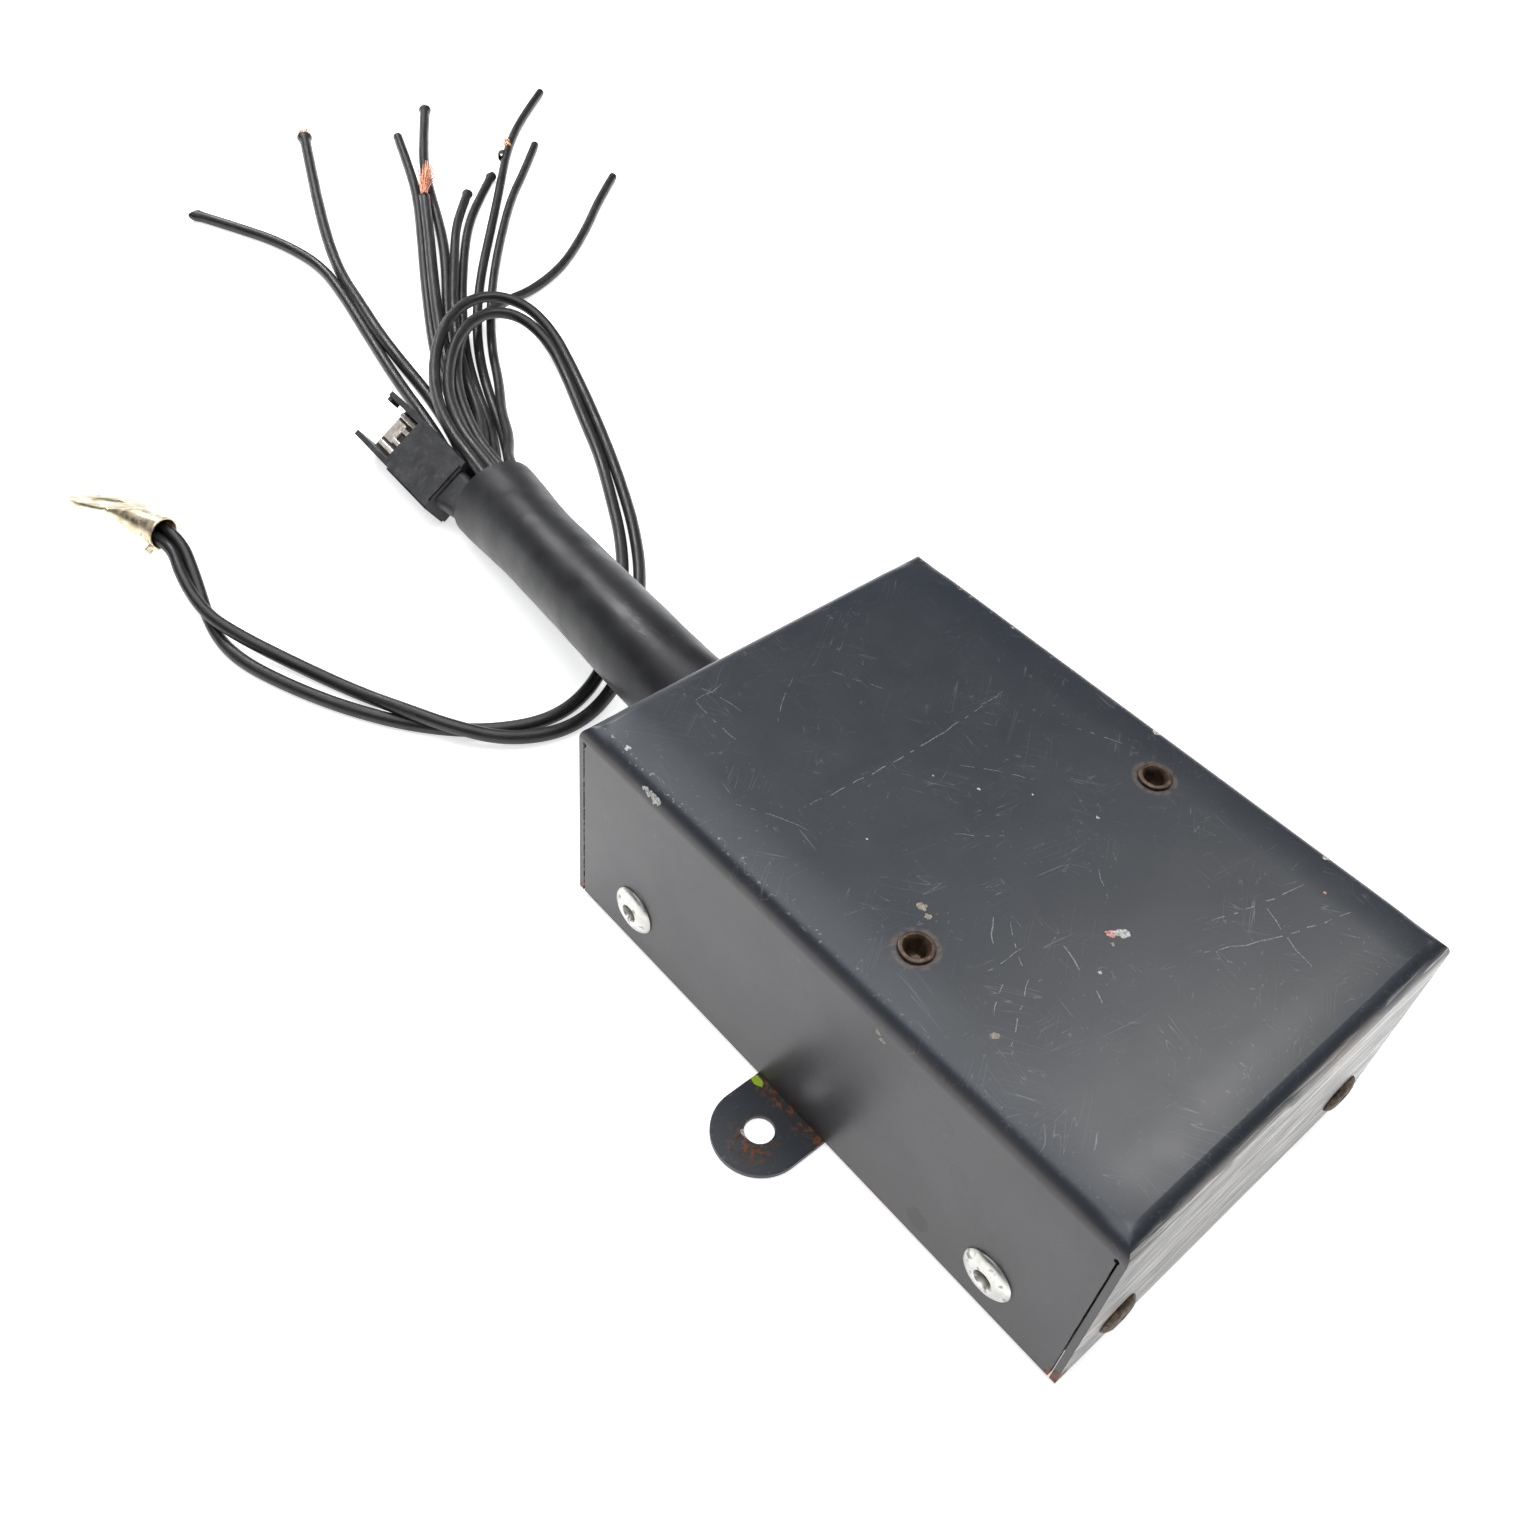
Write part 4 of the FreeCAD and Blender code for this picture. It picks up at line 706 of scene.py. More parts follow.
def make_case():
    """Folded cover with open seams beside its end flanges, and the tray with its two ears."""
    hx, hy = CASE_X / 2, CASE_Y / 2

    def on_top(p):
        return p.z > CASE_Z - SHEET - 0.6

    outer = box_mesh((-hx, -hy, SHEET), (hx, hy, CASE_Z), 3.0, 8, on_top)
    inner = box_mesh((SHEET - hx, SHEET - hy, -2), (hx - SHEET, hy - SHEET, CASE_Z - SHEET), 1.8, 6, on_top)
    cuts = [inner]
    for side in (-1, 1):
        for end in (-1, 1):
            notch_y = end * (hy - SHEET - SEAM)
            seam_x = (side * (hx - SHEET - 0.5), side * (hx + 1))
            cuts.append(slab(seam_x, (end * (hy - SHEET), notch_y), (0, SEAM_TOP)))
            cuts.append(bar_mesh((side * (hx - 2.5), notch_y, SEAM_TOP), (side, 0, 0), 0.5, 3.6, 24))
        seat = (side * TOP_RIVET_X, TOP_RIVET_Y, CASE_Z - 4)
        cuts.append(bar_mesh(seat, (0, 0, 1), TOP_RIVET_HOLE_R, 6, 40))
    cuts.append(bar_mesh((SLEEVE_HOLE_X, hy - 4, SLEEVE_HOLE_Z), (0, 1, 0), SLEEVE_HOLE_R, 6, 72))
    shell = crowned(carve(outer, [("DIFFERENCE", cut) for cut in cuts], 0.22))
    add_piece("case_cover", shell, "case_paint", sharp=50, flat_faces=True, stands_for="cover")

    tx, ty = hx - SHEET - FIT_GAP, hy - SHEET - FIT_GAP

    def at_bottom(p):
        return p.z < SHEET + 0.1

    tray = box_mesh((-tx, -ty, 0), (tx, ty, TRAY_Z), 2.4, 5, lambda p: p.z < 0.1)
    hollow = box_mesh((SHEET - tx, SHEET - ty, SHEET), (tx - SHEET, ty - SHEET, 17), 1.2, 4, at_bottom)
    steps = [("DIFFERENCE", hollow)]
    for side in (-1, 1):
        wall_x = (side * (tx - 4), side * (tx + 1))
        for end in (-1, 1):
            steps.append(("DIFFERENCE", slab(wall_x, (end * (ty - 4), end * (ty + 1)), (-1, 17))))
        steps.append(("DIFFERENCE", slab(wall_x, (-10, 10), (-1, 17))))
        steps.append(("UNION", ear_mesh(side, tx)))
        steps.append(("DIFFERENCE", bar_mesh((side * EAR_X, 0, -1), (0, 0, 1), EAR_HOLE_R, 4, 48)))
    tray = carve(tray, steps, 0.14)
    add_piece("ear_tray", tray, "tray_paint", sharp=50, flat_faces=True, stands_for="base_plate")


def ear_mesh(side, tx):
    """Flat ear with a round end, as one prism that reaches back under the tray's floor."""
    outline = [(tx - 6, -EAR_R)]
    for k in range(33):
        angle = math.radians(-90 + 180 * k / 32)
        outline.append((EAR_X + EAR_R * math.cos(angle), EAR_R * math.sin(angle)))
    outline.append((tx - 6, EAR_R))
    return skin([[Vector((side * x, y, z)) for x, y in outline] for z in (0.0, SHEET)], ends=(True, True))


# ---- marks on the case --------------------------------------------------------
SCRATCHES = [
    ((-22.4, 22.7), (25.0, 22.0), 0.16), ((-22.2, 52.0), (-22.3, 38.5), 0.14),
    ((-22.2, 52.2), (-15.0, 52.8), 0.12), ((-17.5, 45.5), (-19.5, 55.0), 0.12),
    ((-13.8, -13.6), (-19.5, -22.5), 0.16), ((-19.5, -22.5), (-31.0, -29.2), 0.18),
    ((-19.0, -14.8), (-14.6, -11.0), 0.22), ((-28.5, -23.6), (-22.6, -20.4), 0.14),
    ((-10.6, -21.6), (-12.3, -26.8), 0.26), ((-13.0, -30.2), (-14.2, -32.6), 0.20),
    ((2.0, -20.0), (6.5, -14.0), 0.12), ((12.0, -33.0), (31.0, -38.0), 0.22),
    ((6.0, -36.0), (34.0, -46.5), 0.20), ((22.0, -35.5), (17.0, -49.0), 0.22),
    ((-8.0, 4.0), (2.0, -3.5), 0.12), ((4.0, 14.0), (12.0, 3.0), 0.11),
    ((-32.0, 30.0), (-26.0, 18.0), 0.12), ((-30.0, -45.0), (-34.2, -47.0), 0.24),
    ((-14.0, 40.0), (-4.0, 47.0), 0.10), ((2.0, 44.0), (8.0, 33.0), 0.10),
    ((-25.0, -17.6), (-15.0, -18.0), 0.12), ((26.0, 10.0), (33.0, -4.0), 0.11)]
UP, LEFT, RIGHT, BEND = (0, 0, 1), (-1, 0, 0), (0.2, 0, 1), (-0.8, 0, 0.6)
CHIPS = [
    ("white", -1.2, -26.0, 1.25), ("white", -2.2, -25.2, 0.7),
    ("white", -40.42, 43.0, 0.45, 44.42, BEND), ("white", -40.42, 42.3, 0.6, 44.42, BEND),
    ("white", -40.42, 41.5, 0.75, 44.42, BEND), ("white", -40.42, 40.6, 0.85, 44.42, BEND),
    ("white", -40.5, 39.8, 0.8, 44.3, (-0.83, 0, 0.55)), ("white", -40.5, 39.1, 0.6, 44.3, (-0.83, 0, 0.55)),
    ("white", -38.2, 50.6, 0.75, 45.55, (-0.1, 0, 1)), ("white", 2.6, 8.4, 0.4), ("white", -1.4, 15.0, 0.25),
    ("white", 9.0, 2.0, 0.25), ("white", -20.0, 11.8, 0.25), ("white", 38.6, -1.1, 0.9, 45.5, RIGHT),
    ("white", 38.6, -36.7, 0.7, 45.5, RIGHT), ("white", -10.0, -28.4, 0.45), ("white", 14.0, -8.0, 0.4),
    ("beige", -22.6, -3.2, 1.15), ("beige", -23.3, -5.0, 0.7), ("beige", -30.9, -26.0, 0.85),
    ("beige", -41.0, -13.3, 0.8, 41.4, LEFT), ("beige", -41.0, -14.4, 0.8, 40.2, LEFT),
    ("beige", -4.3, -26.2, 0.55), ("red", -3.2, -24.6, 0.95), ("red", 31.5, -41.0, 0.35)]


def scratch_row(a, b, width, number, bow):
    """Pairs of edge points along one wavering scratch, with None where it fades."""
    run = b - a
    side = Vector((-run.y, run.x, 0)).normalized()
    steps = max(8, int(run.length / 0.8))
    row = []
    for k in range(steps + 1):
        t = k / steps
        waver = noise.noise(Vector((t * run.length * 0.35, number * 9.0, 0)))
        sway = bow * run.length * math.sin(math.pi * t) + 0.35 * waver
        thin = width * math.sin(math.pi * min(1.0, 0.08 + 0.92 * t)) ** 0.5
        faded = noise.noise(Vector((t * run.length * 0.8, number * 5.0, 7.0))) > 0.18
        centre = a + run * t + side * sway
        edges = (centre - side * thin / 2, centre + side * thin / 2)
        row.append(None if faded or thin < 0.02 else edges)
    return row


def make_marks():
    """Scratches as thin tapered ribbons and paint chips as ragged flakes, a hair above the coat."""
    pick = random.Random(4)
    bm = bmesh.new()
    lift = Vector((0, 0, 0.012))
    for number, (a, b, width) in enumerate(SCRATCHES):
        bow = pick.uniform(-0.05, 0.05)
        row = scratch_row(Vector((*a, CASE_Z)), Vector((*b, CASE_Z)), width, number, bow)
        for low, high in zip(row, row[1:]):
            if low and high:
                bm.faces.new([bm.verts.new(p + lift) for p in (low[0], low[1], high[1], high[0])])
    add_piece("paint_scratches", lowered(bm), "case_paint", finish="scratch_groove")
    flakes = {}
    for number, (kind, x, y, size, *place) in enumerate(CHIPS):
        z, outward = place or (CASE_Z, UP)
        outward = Vector(outward).normalized()
        side, other = beside(outward)
        rings = []
        for share, lift in ((1.0, 0.004), (0.82, 0.035), (0.35, 0.05)):
            ring = []
            for angle, spoke in turn_about(side, other, 22):
                wobble = noise.noise(Vector((math.cos(angle), math.sin(angle), number * 3.7)) * 1.1)
                reach = size * share * (0.72 + 0.55 * wobble)
                ring.append(Vector((x, y, z)) + spoke * reach + outward * lift)
            rings.append(ring)
        skin(rings, ends=(False, True), bm=flakes.setdefault(kind + "_chip", bmesh.new()))
    for kind, bm in flakes.items():
        add_piece("flakes_" + kind, lowered(bm), "case_paint", finish=kind)


BRIGHT_RIVET = [
    (4.55, -0.3), (4.72, 0.02), (4.75, 0.22), (4.62, 0.46), (4.25, 0.76), (3.6, 1.08), (2.9, 1.32),
    (2.35, 1.46), (2.0, 1.48), (1.75, 1.36), (1.62, 1.0), (1.56, 0.0), (1.50, -0.9), (0.9, -1.0),
    (0.4, -0.95)]
DULL_RIVET = [
    (3.7, -0.3), (3.88, 0.02), (3.9, 0.22), (3.7, 0.52), (3.2, 0.84), (2.5, 1.06), (1.8, 1.16), (1.3, 1.18),
    (1.1, 1.05), (1.0, 0.7), (0.7, 0.55), (0.3, 0.58)]
HOLLOW_RIVET = [
    (2.85, -0.3), (3.0, 0.0), (3.02, 0.22), (2.9, 0.48), (2.62, 0.62), (2.3, 0.60), (2.05, 0.35),
    (1.85, -0.1), (1.72, -0.9), (1.6, -2.2), (1.3, -2.9), (0.8, -3.2), (0.3, -3.2)]


def make_rivet(kind, number, profile, seat, outward, uneven, seed, slot):
    bm = turned(profile, seat, outward, uneven=uneven, seed=seed, base=False)
    add_piece("%s_rivet_%d" % (kind, number), bm, slot, stands_for=kind + "_rivets")


def make_rivets():
    number = 0
    for side in (-1, 1):
        for along in (-1, 1):
            number += 1
            seat = (side * CASE_X / 2, along * SIDE_RIVET_Y, RIVET_Z)
            make_rivet("side", number, BRIGHT_RIVET, seat, (side, 0, 0), 0.05, number, "bright_rivet")
            seat = (along * END_RIVET_X, side * CASE_Y / 2, RIVET_Z)
            make_rivet("end", number, DULL_RIVET, seat, (0, side, 0), 0.14, number + 10, "rusty_rivet")
        seat = (side * TOP_RIVET_X, TOP_RIVET_Y, CASE_Z)
        make_rivet("top", number, HOLLOW_RIVET, seat, UP, 0.07, number + 20, "hollow_rivet")


# ---- sleeve -----------------------------------------------------------------
def sleeve_stations():
    """Points and directions along the sleeve's axis, round its bend and on to the mouth."""
    reach = 0.0135
    first = SLEEVE_BEND - Vector((0, reach, 0))
    last = SLEEVE_BEND + SLEEVE_AXIS * reach
    stations = [(SLEEVE_START.lerp(first, k / 8), Vector((0, 1, 0))) for k in range(8)]
    for k in range(13):
        before, after = first.lerp(SLEEVE_BEND, k / 12), SLEEVE_BEND.lerp(last, k / 12)
        stations.append((before.lerp(after, k / 12), (after - before).normalized()))
    stations += [(last.lerp(SLEEVE_MOUTH, k / 48), SLEEVE_AXIS) for k in range(1, 49)]
    return stations


def sleeve_ring(centre, along, grow, mouth_distance):
    """One slightly uneven oval round the axis, flattened near the mouth, in the sleeve's rolled frame."""
    across = (ACROSS - along * ACROSS.dot(along)).normalized()
    above = across.cross(along)
    near = max(0.0, 1.0 - mouth_distance / 0.030)
    flat = near * near * (3 - 2 * near)
    ring = []
    for angle, spoke in turn_about(across, above, 72):
        spot = centre + spoke * 0.01
        dent = noise.noise(spot * 42) * 0.00028 + noise.noise(spot * 140) * 0.00008
        wide = SLEEVE_R + 0.0013 * flat + grow + dent
        tall = SLEEVE_R - 0.0012 * flat + grow + dent
        ring.append(centre + across * (wide * math.cos(angle)) + above * (tall * math.sin(angle)))
    return ring


def make_sleeve():
    rings = []
    for centre, along in sleeve_stations():
        rings.append(sleeve_ring(centre, along, 0.0, (SLEEVE_MOUTH - centre).length))
    lip = [(-0.00002, 0.00025), (-0.0003, 0.0004), (-0.0008, 0.00045), (-0.0012, 0.0003), (-SLEEVE_WALL, 0.0)]
    for grow, ahead in lip:
        rings.append(sleeve_ring(SLEEVE_MOUTH + SLEEVE_AXIS * (ahead - 0.00045), SLEEVE_AXIS, grow, 0.0))
    for k in range(1, 16):
        inward = 0.003 * k
        rings.append(sleeve_ring(SLEEVE_MOUTH - SLEEVE_AXIS * inward, SLEEVE_AXIS, -SLEEVE_WALL, inward))
    add_piece("rubber_sleeve", skin(rings), "sleeve_rubber", unit=1.0, sharp=60, stands_for="sleeve")


# ---- connector --------------------------------------------------------------
def in_frame(bm, origin, across, forward, above):
    """Move a mesh drawn in millimetres about the origin into a frame of its own, in metres."""
    turn = Matrix((across, forward, above)).transposed().to_4x4()
    bm.transform(Matrix.Translation(origin) @ turn @ Matrix.Scale(MM, 4))
    return bm


def rounded_ring(centre, across, above, width, height, corner, count=10):
    ring = []
    for turn, sx, sy in ((0, 1, 1), (90, -1, 1), (180, -1, -1), (270, 1, -1)):
        for k in range(count):
            angle = math.radians(turn + 90 * k / (count - 1))
            u = sx * (width / 2 - corner) + corner * math.cos(angle)
            v = sy * (height / 2 - corner) + corner * math.sin(angle)
            ring.append(centre + across * u + above * v)
    return ring


SOCKET_WALL = ((-7, 0, -4), (-5.7, 34.3, 4))
SOCKET_STEPS = [
    ("UNION", (5.7, 0, -4), (7, 34.5, 4)), ("UNION", (-6.3, 0.02, -3.96), (6.3, 33.9, -2.7)),
    ("UNION", (-6.3, 0.02, 2.7), (6.3, 20.3, 3.96)), ("UNION", (-6.2, 0.04, -3.2), (6.2, 12, 3.2)),
    ("UNION", (-7.5, 0.06, -3.4), (-6.4, 18.5, 3.4)), ("DIFFERENCE", (-8, 20.2, -1.1), (-6.6, 32.8, 1.1)),
    ("DIFFERENCE", (6.6, 5, -1.1), (8, 29, 1.1)), ("DIFFERENCE", (-5.4, -1, 3.5), (5.4, 0.8, 5)),
    ("UNION", (4.6, 33.0, 0.6), (6.2, 34.4, 3.6))]
SOCKET_FLOOR = -2.7


def socket_piece(name, bm, slot, node, flat_faces=False):
    bm = in_frame(bm, SOCKET_REAR, SOCKET_ACROSS, SOCKET_FORWARD, SOCKET_ABOVE)
    add_piece(name, bm, slot, unit=1.0, flat_faces=flat_faces, stands_for=node)


def make_connector():
    """Keyed housing with a latch hook and wall steps, its contacts, and the moulded boot."""
    steps = [(operation, box_mesh(low, high)) for operation, low, high in SOCKET_STEPS]
    shell = carve(box_mesh(*SOCKET_WALL), steps, 0.25)
    socket_piece("connector_shell", shell, "connector_black", "connector_housing", flat_faces=True)

    floor = SOCKET_FLOOR
    for number, (x, end) in enumerate(((-4.2, 32.9), (4.2, 33.3))):
        low, high = (x - 0.7, 12, floor), (x + 0.7, end, floor + 1.2)
        rail = box_mesh(low, high, 0.35, 3, lambda p: p.z > floor + 0.5)
        socket_piece("contact_rail_%d" % (number + 1), rail, "contact_metal", "connector_contacts")
    for number, x in enumerate((-1.7, 1.7)):
        rings = []
        for y, rise in ((12, 0), (20, 0.1), (25, 0.5), (28.0, 0.75), (29.4, 0.55)):
            centre = Vector((x, y, floor + rise * 0.3 + 0.75))
            rings.append(rounded_ring(centre, Vector((1, 0, 0)), Vector(UP), 1.2, 0.7, 0.25, 4))
        finger = skin(rings, ends=(True, True))
        socket_piece("contact_finger_%d" % (number + 1), finger, "contact_metal", "connector_contacts")
    plate = box_mesh((-2.8, 29.5, floor), (2.8, 33.3, floor + 0.5), 0.2, 2, lambda p: p.z > floor + 0.4)
    socket_piece("contact_plate", plate, "contact_metal", "connector_contacts")

    inner = in_sleeve(-0.00435, -0.0008, -0.0045)
    rings = []
    for k in range(13):
        t = k / 12
        across = SOCKET_ACROSS.lerp(ACROSS, t).normalized()
        above = SOCKET_ABOVE.lerp(ABOVE, t).normalized()
        waist = 1.0 - 0.035 * math.sin(math.pi * t)
        width, height = (0.0105 - 0.0025 * t) * waist, (0.0060 - 0.0014 * t) * waist
        rings.append(rounded_ring(SOCKET_REAR.lerp(inner, t), across, above, width, height, 0.0018))
    boot = skin(rings, ends=(True, True))
    add_piece("moulded_boot", boot, "connector_black", unit=1.0, stands_for="connector_boot")


# ---- ring terminal ----------------------------------------------------------
BARREL_SHAPE = [
    (1.06, 5.4, 0.9), (1.0, 5.4, 1.0), (0.93, 5.4, 1.6), (0.85, 5.5, 2.7), (0.77, 5.7, 3.8), (0.68, 6.0, 4.8),
    (0.58, 6.3, 5.6), (0.46, 6.55, 6.1), (0.36, 6.5, 6.1), (0.30, 6.6, 6.3), (0.16, 7.1, 7.0),
    (0.05, 7.45, 7.4), (0.01, 7.6, 7.6), (0.0, 7.5, 7.5), (0.0, 6.9, 6.9), (0.02, 6.6, 6.6), (0.2, 6.2, 6.2),
    (0.45, 5.6, 5.2)]


def terminal_piece(name, bm, sharp=35.0):
    return add_piece(name, bm, "terminal_brass", unit=1.0, sharp=sharp, stands_for="ring_terminal")


def make_ring_terminal():
    """Crimp barrel that narrows to a flat neck, a burr at its mouth, and a thin tilted ring."""
    outward = (RING_CENTRE - LUG_NECK).normalized()
    across = outward.cross(RING_NORMAL).normalized()
    above = across.cross(outward)
    level = (across - LUG_AXIS * across.dot(LUG_AXIS)).normalized()
    over = level.cross(LUG_AXIS)
    rings = []
    for share, width, height in BARREL_SHAPE:
        bend = min(max(0.0, (share - 0.6) / 0.4), 1.0)
        flat, thick = level.lerp(across, bend).normalized(), over.lerp(above, bend).normalized()
        centre = LUG_MOUTH + (LUG_NECK - LUG_MOUTH) * share
        corner = min(width, height) * 0.48 * MM
        rings.append(rounded_ring(centre, flat, thick, width * MM, height * MM, corner))
    barrel = terminal_piece("crimp_barrel", skin(rings, ends=(True, True)), 50)
    burr = box_mesh((-5.3, 0.3, -1.4), (-3.3, 1.3, 0.1), 0.2, 2)
    burr = in_frame(burr, LUG_MOUTH, LUG_BESIDE, LUG_AXIS, LUG_BESIDE.cross(LUG_AXIS))
    burr = terminal_piece("barrel_burr", burr)

    reach = (RING_CENTRE - LUG_NECK).length / MM
    outline = []
    for k in range(49):
        angle = math.radians(-62 + 304 * k / 48)
        outline.append((RING_R * math.cos(angle), reach + RING_R * math.sin(angle)))
    outline += [(-3.0, 0.9), (-2.7, -0.6), (2.7, -0.6), (3.0, 0.9)]
    layers = [[Vector((x, y, z)) for x, y in outline] for z in (-RING_T / 2, RING_T / 2)]
    hole = bar_mesh((0, reach, -2), UP, RING_HOLE_R, 4, 64)
    ring = carve(skin(layers, ends=(True, True)), [("DIFFERENCE", hole)], 0.2)
    for vert in ring.verts:
        vert.co.z += 0.2 * noise.noise(vert.co * 0.16)
    ring = terminal_piece("terminal_ring", in_frame(ring, LUG_NECK, across, outward, above))
    return [barrel, burr, ring]


# ---- wires ------------------------------------------------------------------
GIRTH = {
    "wire_1": 1.12, "wire_2": 1.22, "wire_3": 1.12, "wire_4": 1.15, "wire_5": 1.18, "wire_9": 0.95,
    "ground_wire_a": 1.1, "ground_wire_b": 1.1}


def make_wire(name):
    """One cut wire, as a smooth round cord along its route; in the crimp it has its plain girth."""
    curve = bpy.data.curves.new(name, "CURVE")
    curve.dimensions = "3D"
    curve.resolution_u = 10
    curve.bevel_depth = WIRE_D / 2
    curve.bevel_resolution = 5
    curve.use_fill_caps = True
    points = route_of(name)
    spline = curve.splines.new("NURBS")
    spline.points.add(len(points) - 1)
    for spot, point in zip(spline.points, points):
        spot.co = (*point, 1.0)
        spot.radius = GIRTH.get(name, 1.0)
    if name in LUG_SIDE:
        for spot in spline.points[-4:]:
            spot.radius = 1.0
    spline.order_u = 3
    spline.use_endpoint_u = True
    piece = linked("lead_" + name, curve)
    curve.materials.append(MATERIALS["wire_insulation"])
    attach(piece, "case")
    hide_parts(name)
    return piece


def strands(name, start, along, count, length, spread, thick, seed, lean=(0, 0, 0), loose=0.2):
    """Bundle of bare strands, in metres from start; spread opens it, lean bends it to a side."""
    pick = random.Random(seed)
    along = along.normalized()
    side, other = beside(along)
    bm = bmesh.new()
    for number in range(count):
        angle = number * 2.39996
        out = 0.85 * math.sqrt((number + 0.3) / count)
        spoke = side * math.cos(angle) + other * math.sin(angle)
        own = length * (1 - loose * pick.random())
        sway = Vector([pick.uniform(-1, 1) for _ in range(3)]) * spread * 0.35
        rings = []
        for k in range(7):
            t = k / 6
            open_up = spoke * (out + spread * t * t * (0.5 + out))
            centre = along * (own * t - 0.6) + open_up + sway * t * t + Vector(lean) * (own * t * t)
            radius = thick * (1.0 if k < 6 else 0.75)
            ring = [start + (centre + rim * radius) * MM for _, rim in turn_about(side, other, 7)]
            sunk = min(point.z for point in ring) - 0.00005
            rings.append([point - Vector((0, 0, min(sunk, 0.0))) for point in ring])
        skin(rings, ends=(True, True), bm=bm)
    return add_piece(name, bm, "bare_copper", unit=1.0, sharp=60)


COLLAR_SHAPE = [(1.30, -4.0), (1.40, 0.0), (1.38, 0.6), (1.26, 1.0), (0.98, 0.9), (0.92, 0.2), (0.90, -0.7)]


def torn_collar(name, end, along, reach, seed, wide, slant=0.0, girth=1.0):
    """Ragged rim of insulation past a wire's end, squashed wide and cut on a slant where asked."""
    along = along.normalized()
    side = Vector((-along.y, along.x, 0)).normalized()
    other = along.cross(side)
    count = 28
    jags = [noise.noise(Vector((k * 0.45, seed * 5.1, 0))) for k in range(count)]
    jags = [reach * (0.35 + 0.65 * abs(jag) * 2) for jag in jags]
    jags = [0.5 * a + 0.25 * (b + c) for a, b, c in zip(jags, jags[1:] + jags[:1], jags[-1:] + jags[:-1])]
    rings = []
    for radius, share in COLLAR_SHAPE:
        broad = 1 + (wide - 1) * min(1.0, (share + 4.0) / 4.0)
        ring = []
        for jag, (angle, spoke) in zip(jags, turn_about(side * broad, other, count)):
            depth = (jag + slant * math.cos(angle)) * share if share > 0 else share * 0.6
            ring.append(end + (spoke * radius * girth + along * depth) * MM)
        rings.append(ring)
    return add_piece(name, skin(rings), "wire_insulation", unit=1.0, sharp=60)


def wire_end(name):
    points = route_of(name)
    return points[-1], (points[-1] - points[-2]).normalized()


TORN_TIPS = [
    ("wire_6", 1.5, 1.20, 0.3), ("wire_7", 1.5, 1.20, -0.3), ("wire_2", 2.0, 1.38, 0.3),
    ("wire_4", 1.6, 1.25, 0.0), ("wire_5", 1.3, 1.0, 0.0), ("wire_1", 0.8, 1.28, 1.3)]
FRAYED_TIPS = [
    ("frayed", "wire_2", 0.0, 18, 4.0, 1.1, 0.18, 5, (0.10, 0.06, 0.16)),
    ("frayed", "wire_4", 0.0, 15, 3.2, 0.5, 0.16, 8, (0.0, 0.0, 0.12)),
    ("fanned", "wire_5", 0.0012, 20, 9.5, 1.8, 0.18, 11, (0.34, 0.30, 0.10)),
    ("stray", "wire_5", 0.0012, 9, 11.0, 0.7, 0.18, 17, (0.50, 0.44, 0.12))]


def make_tips():
    """What shows at each cut end: a copper core, frayed strands or a torn rim of insulation."""
    made = {name: [] for name in SLOTS}
    for name in ("wire_1", "wire_3", "wire_8", "wire_9", "wire_10", "wire_6", "wire_7"):
        made[name].append(strands("core_" + name, *wire_end(name), 7, 0.78, 0.0, 0.26, 3, loose=0.08))
    for seed, (name, reach, wide, slant) in enumerate(TORN_TIPS):
        shape = (reach, seed + 2, wide, slant, GIRTH.get(name, 1.0))
        made[name].append(torn_collar("torn_" + name, *wire_end(name), *shape))
    for kind, name, raised, *shape in FRAYED_TIPS:
        end, along = wire_end(name)
        made[name].append(strands(kind + "_" + name, end + Vector((0, 0, raised)), along, *shape))
    for name in ("wire_2", "wire_4", "wire_5"):
        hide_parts("bare_copper")

    nick, flap = Vector((0.1234, 0.3230, 0.0026)), Vector((0.1195, 0.3203, 0.0014))
    made["wire_8"].append(strands("nick_wire_8", nick, Vector((0.27, 0.96, 0.05)), 12, 4.2, 0.4, 0.17, 23))
    made["wire_8"].append(torn_collar("flap_wire_8", flap, Vector((0.68, 0.73, 0)), 1.6, 9, 1.25))
    return made


def declare_cords(wires, tips):
    for name, piece in wires.items():
        tuple(route_of(name)[0])


def dress_cad_nodes():
    """Procedural finishes for the CAD parts that show as they are."""
    slots = {part["node"]: part["material_slot"] for part in frame["record"]["subparts"]}
    for name, node in frame["nodes"].items():
        node.data.materials.clear()
        node.data.materials.append(MATERIALS[slots[name]])


# ---- floor, world and lamps ---------------------------------------------------
def make_floor():
    bm = bmesh.new()
    bmesh.ops.create_grid(bm, x_segments=4, y_segments=4, size=4.0)
    mesh = bpy.data.meshes.new("floor")
    bm.to_mesh(mesh)
    bm.free()
    floor = linked("floor", mesh)
    floor.location = (0, 0, -0.0001)
    white = bpy.data.materials.new("floor_white")
    white.use_nodes = True
    shader = white.node_tree.nodes["Principled BSDF"]
    shader.inputs["Base Color"].default_value = (0.93, 0.93, 0.93, 1)
    shader.inputs["Roughness"].default_value = 0.9
    shader.inputs["Emission Color"].default_value = (1, 1, 1, 1)
    shader.inputs["Emission Strength"].default_value = 0.66
    mesh.materials.append(white)


WORLD_STOPS = [(0.0, 0.25), (0.25, 0.08), (0.60, 0.14), (0.85, 0.50), (1.0, 0.70)]


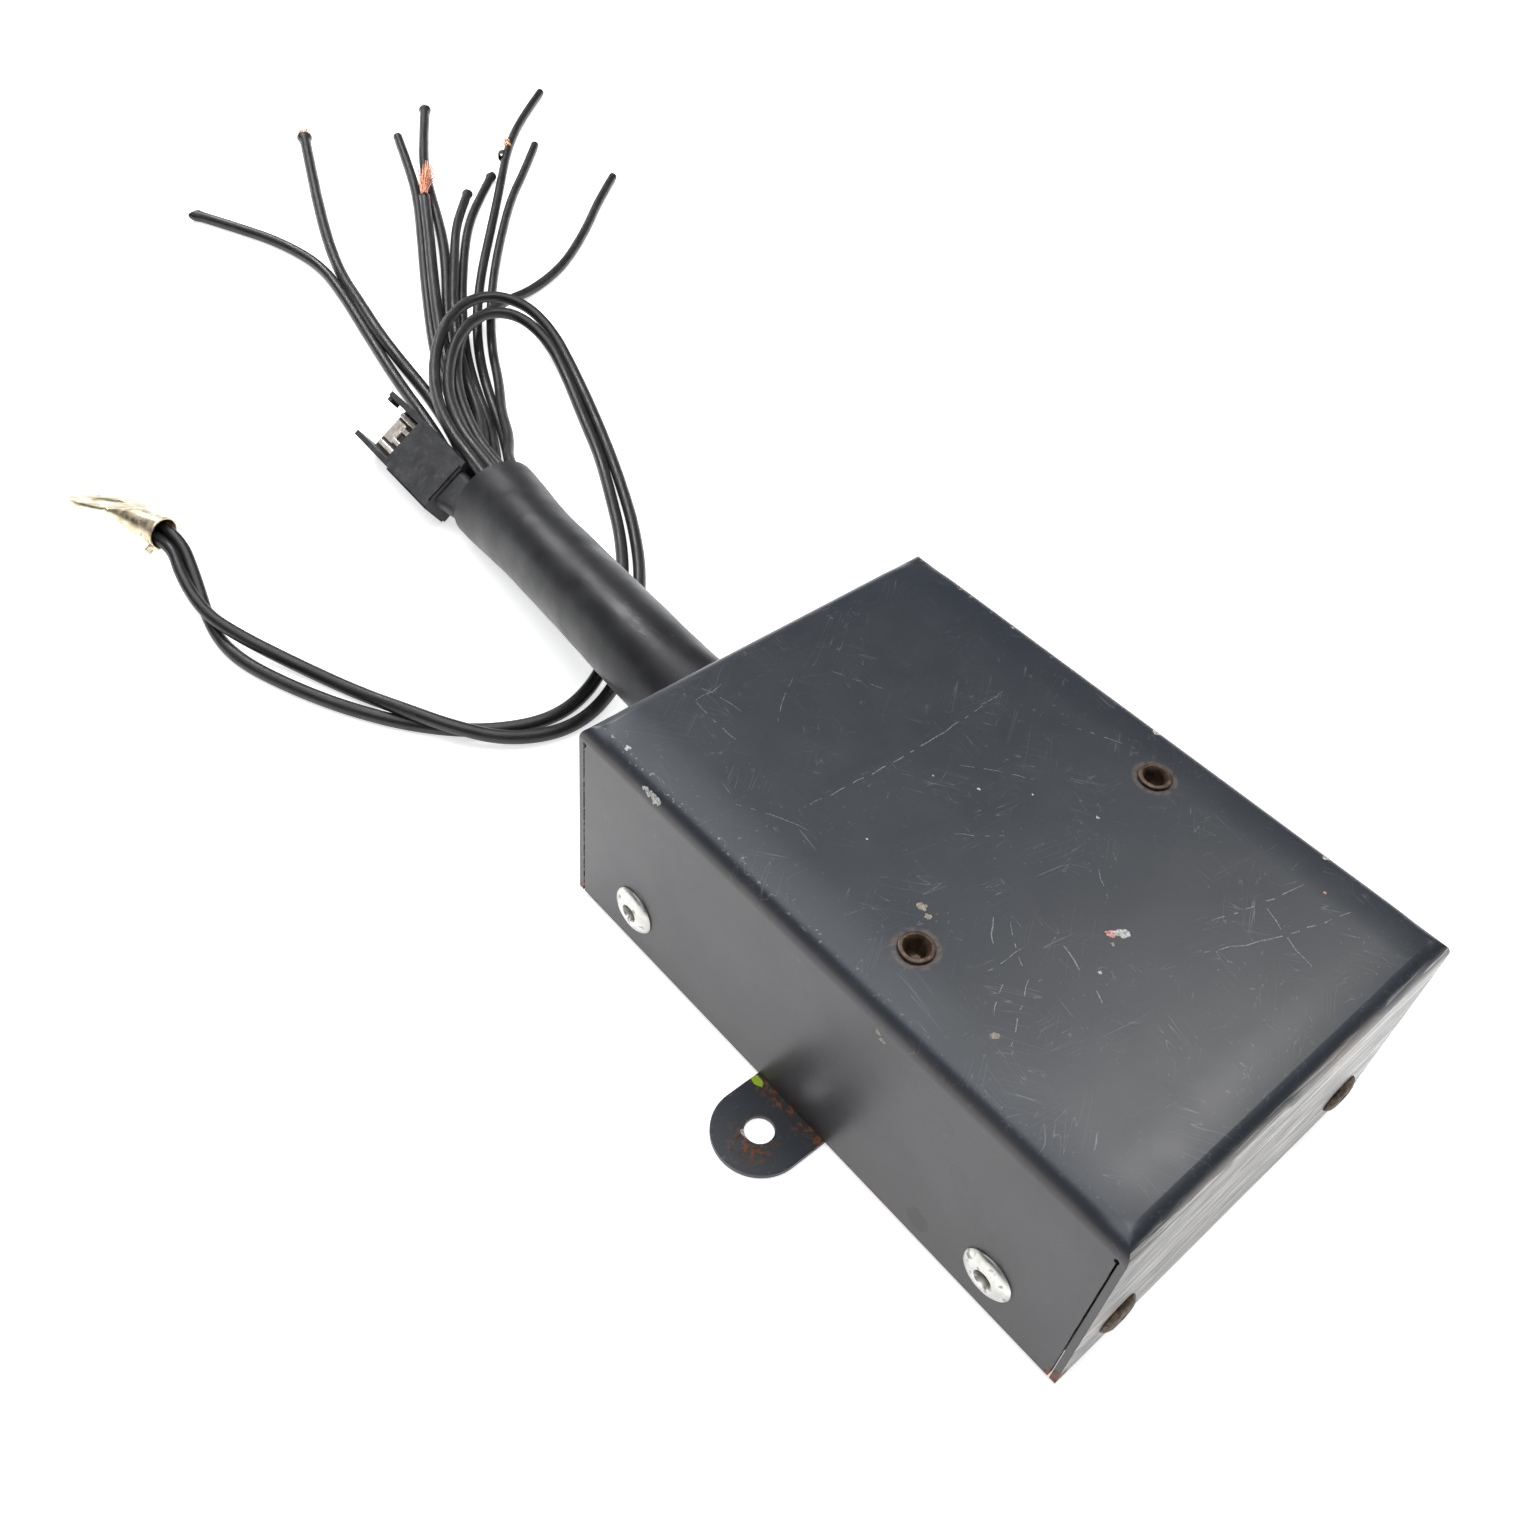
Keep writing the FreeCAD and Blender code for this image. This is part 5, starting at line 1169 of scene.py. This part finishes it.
def make_world():
    """Pale room: bright overhead, dimmer round the middle of its walls, white to the camera."""
    world = bpy.data.worlds.new("room")
    bpy.context.scene.world = world
    world.use_nodes = True
    tree = world.node_tree
    background = tree.nodes["Background"]
    place = tree.nodes.new("ShaderNodeTexCoord")
    parts = tree.nodes.new("ShaderNodeSeparateXYZ")
    tree.links.new(place.outputs["Generated"], parts.inputs[0])
    ramp = tree.nodes.new("ShaderNodeValToRGB")
    tree.links.new(parts.outputs["Z"], ramp.inputs[0])
    elements = ramp.color_ramp.elements
    elements[0].position, elements[1].position = WORLD_STOPS[0][0], WORLD_STOPS[-1][0]
    for position, _ in WORLD_STOPS[1:-1]:
        elements.new(position)
    for element, (_, level) in zip(elements, WORLD_STOPS):
        element.color = (level * 0.97, level * 0.99, level * 1.04, 1)
    seen = tree.nodes.new("ShaderNodeLightPath")
    swap = tree.nodes.new("ShaderNodeMix")
    swap.data_type = "RGBA"
    tree.links.new(seen.outputs["Is Camera Ray"], swap.inputs["Factor"])
    colours = [s for s in swap.inputs if s.type == "RGBA"]
    tree.links.new(ramp.outputs[0], colours[0])
    colours[1].default_value = (1, 1, 1, 1)
    tree.links.new([s for s in swap.outputs if s.type == "RGBA"][0], background.inputs[0])
    background.inputs[1].default_value = 1.0


def make_lamp(name, place, aim, size, power, colour):
    lamp = bpy.data.lights.new(name, "AREA")
    lamp.shape = "RECTANGLE"
    lamp.size, lamp.size_y = size
    lamp.energy = power
    lamp.color = colour
    made = linked(name, lamp)
    made.location = place
    made.rotation_mode = "QUATERNION"
    made.rotation_quaternion = (Vector(aim) - Vector(place)).to_track_quat("-Z", "Y")


make_camera()
make_case()
make_marks()
make_rivets()
make_sleeve()
make_connector()
ring_terminal = make_ring_terminal()
wires = {name: make_wire(name) for name in SLOTS}
declare_cords(wires, make_tips())
dress_cad_nodes()
make_floor()
make_world()
make_lamp("window", (0.52, -0.02, 0.86), (-0.01, -0.03, 0.04), (0.30, 0.26), 2.5, (1.0, 0.96, 0.92))
make_lamp("overhead", (-0.05, 0.42, 1.5), (0.0, 0.10, 0.0), (1.6, 1.6), 20.0, (0.96, 0.98, 1.0))
make_lamp("crest_light", (0.18, 1.04, 0.64), (0.0, 0.12, 0.02), (0.34, 0.22), 4.6, (0.98, 0.98, 1.0))
bpy.context.scene.view_settings.view_transform = "Standard"
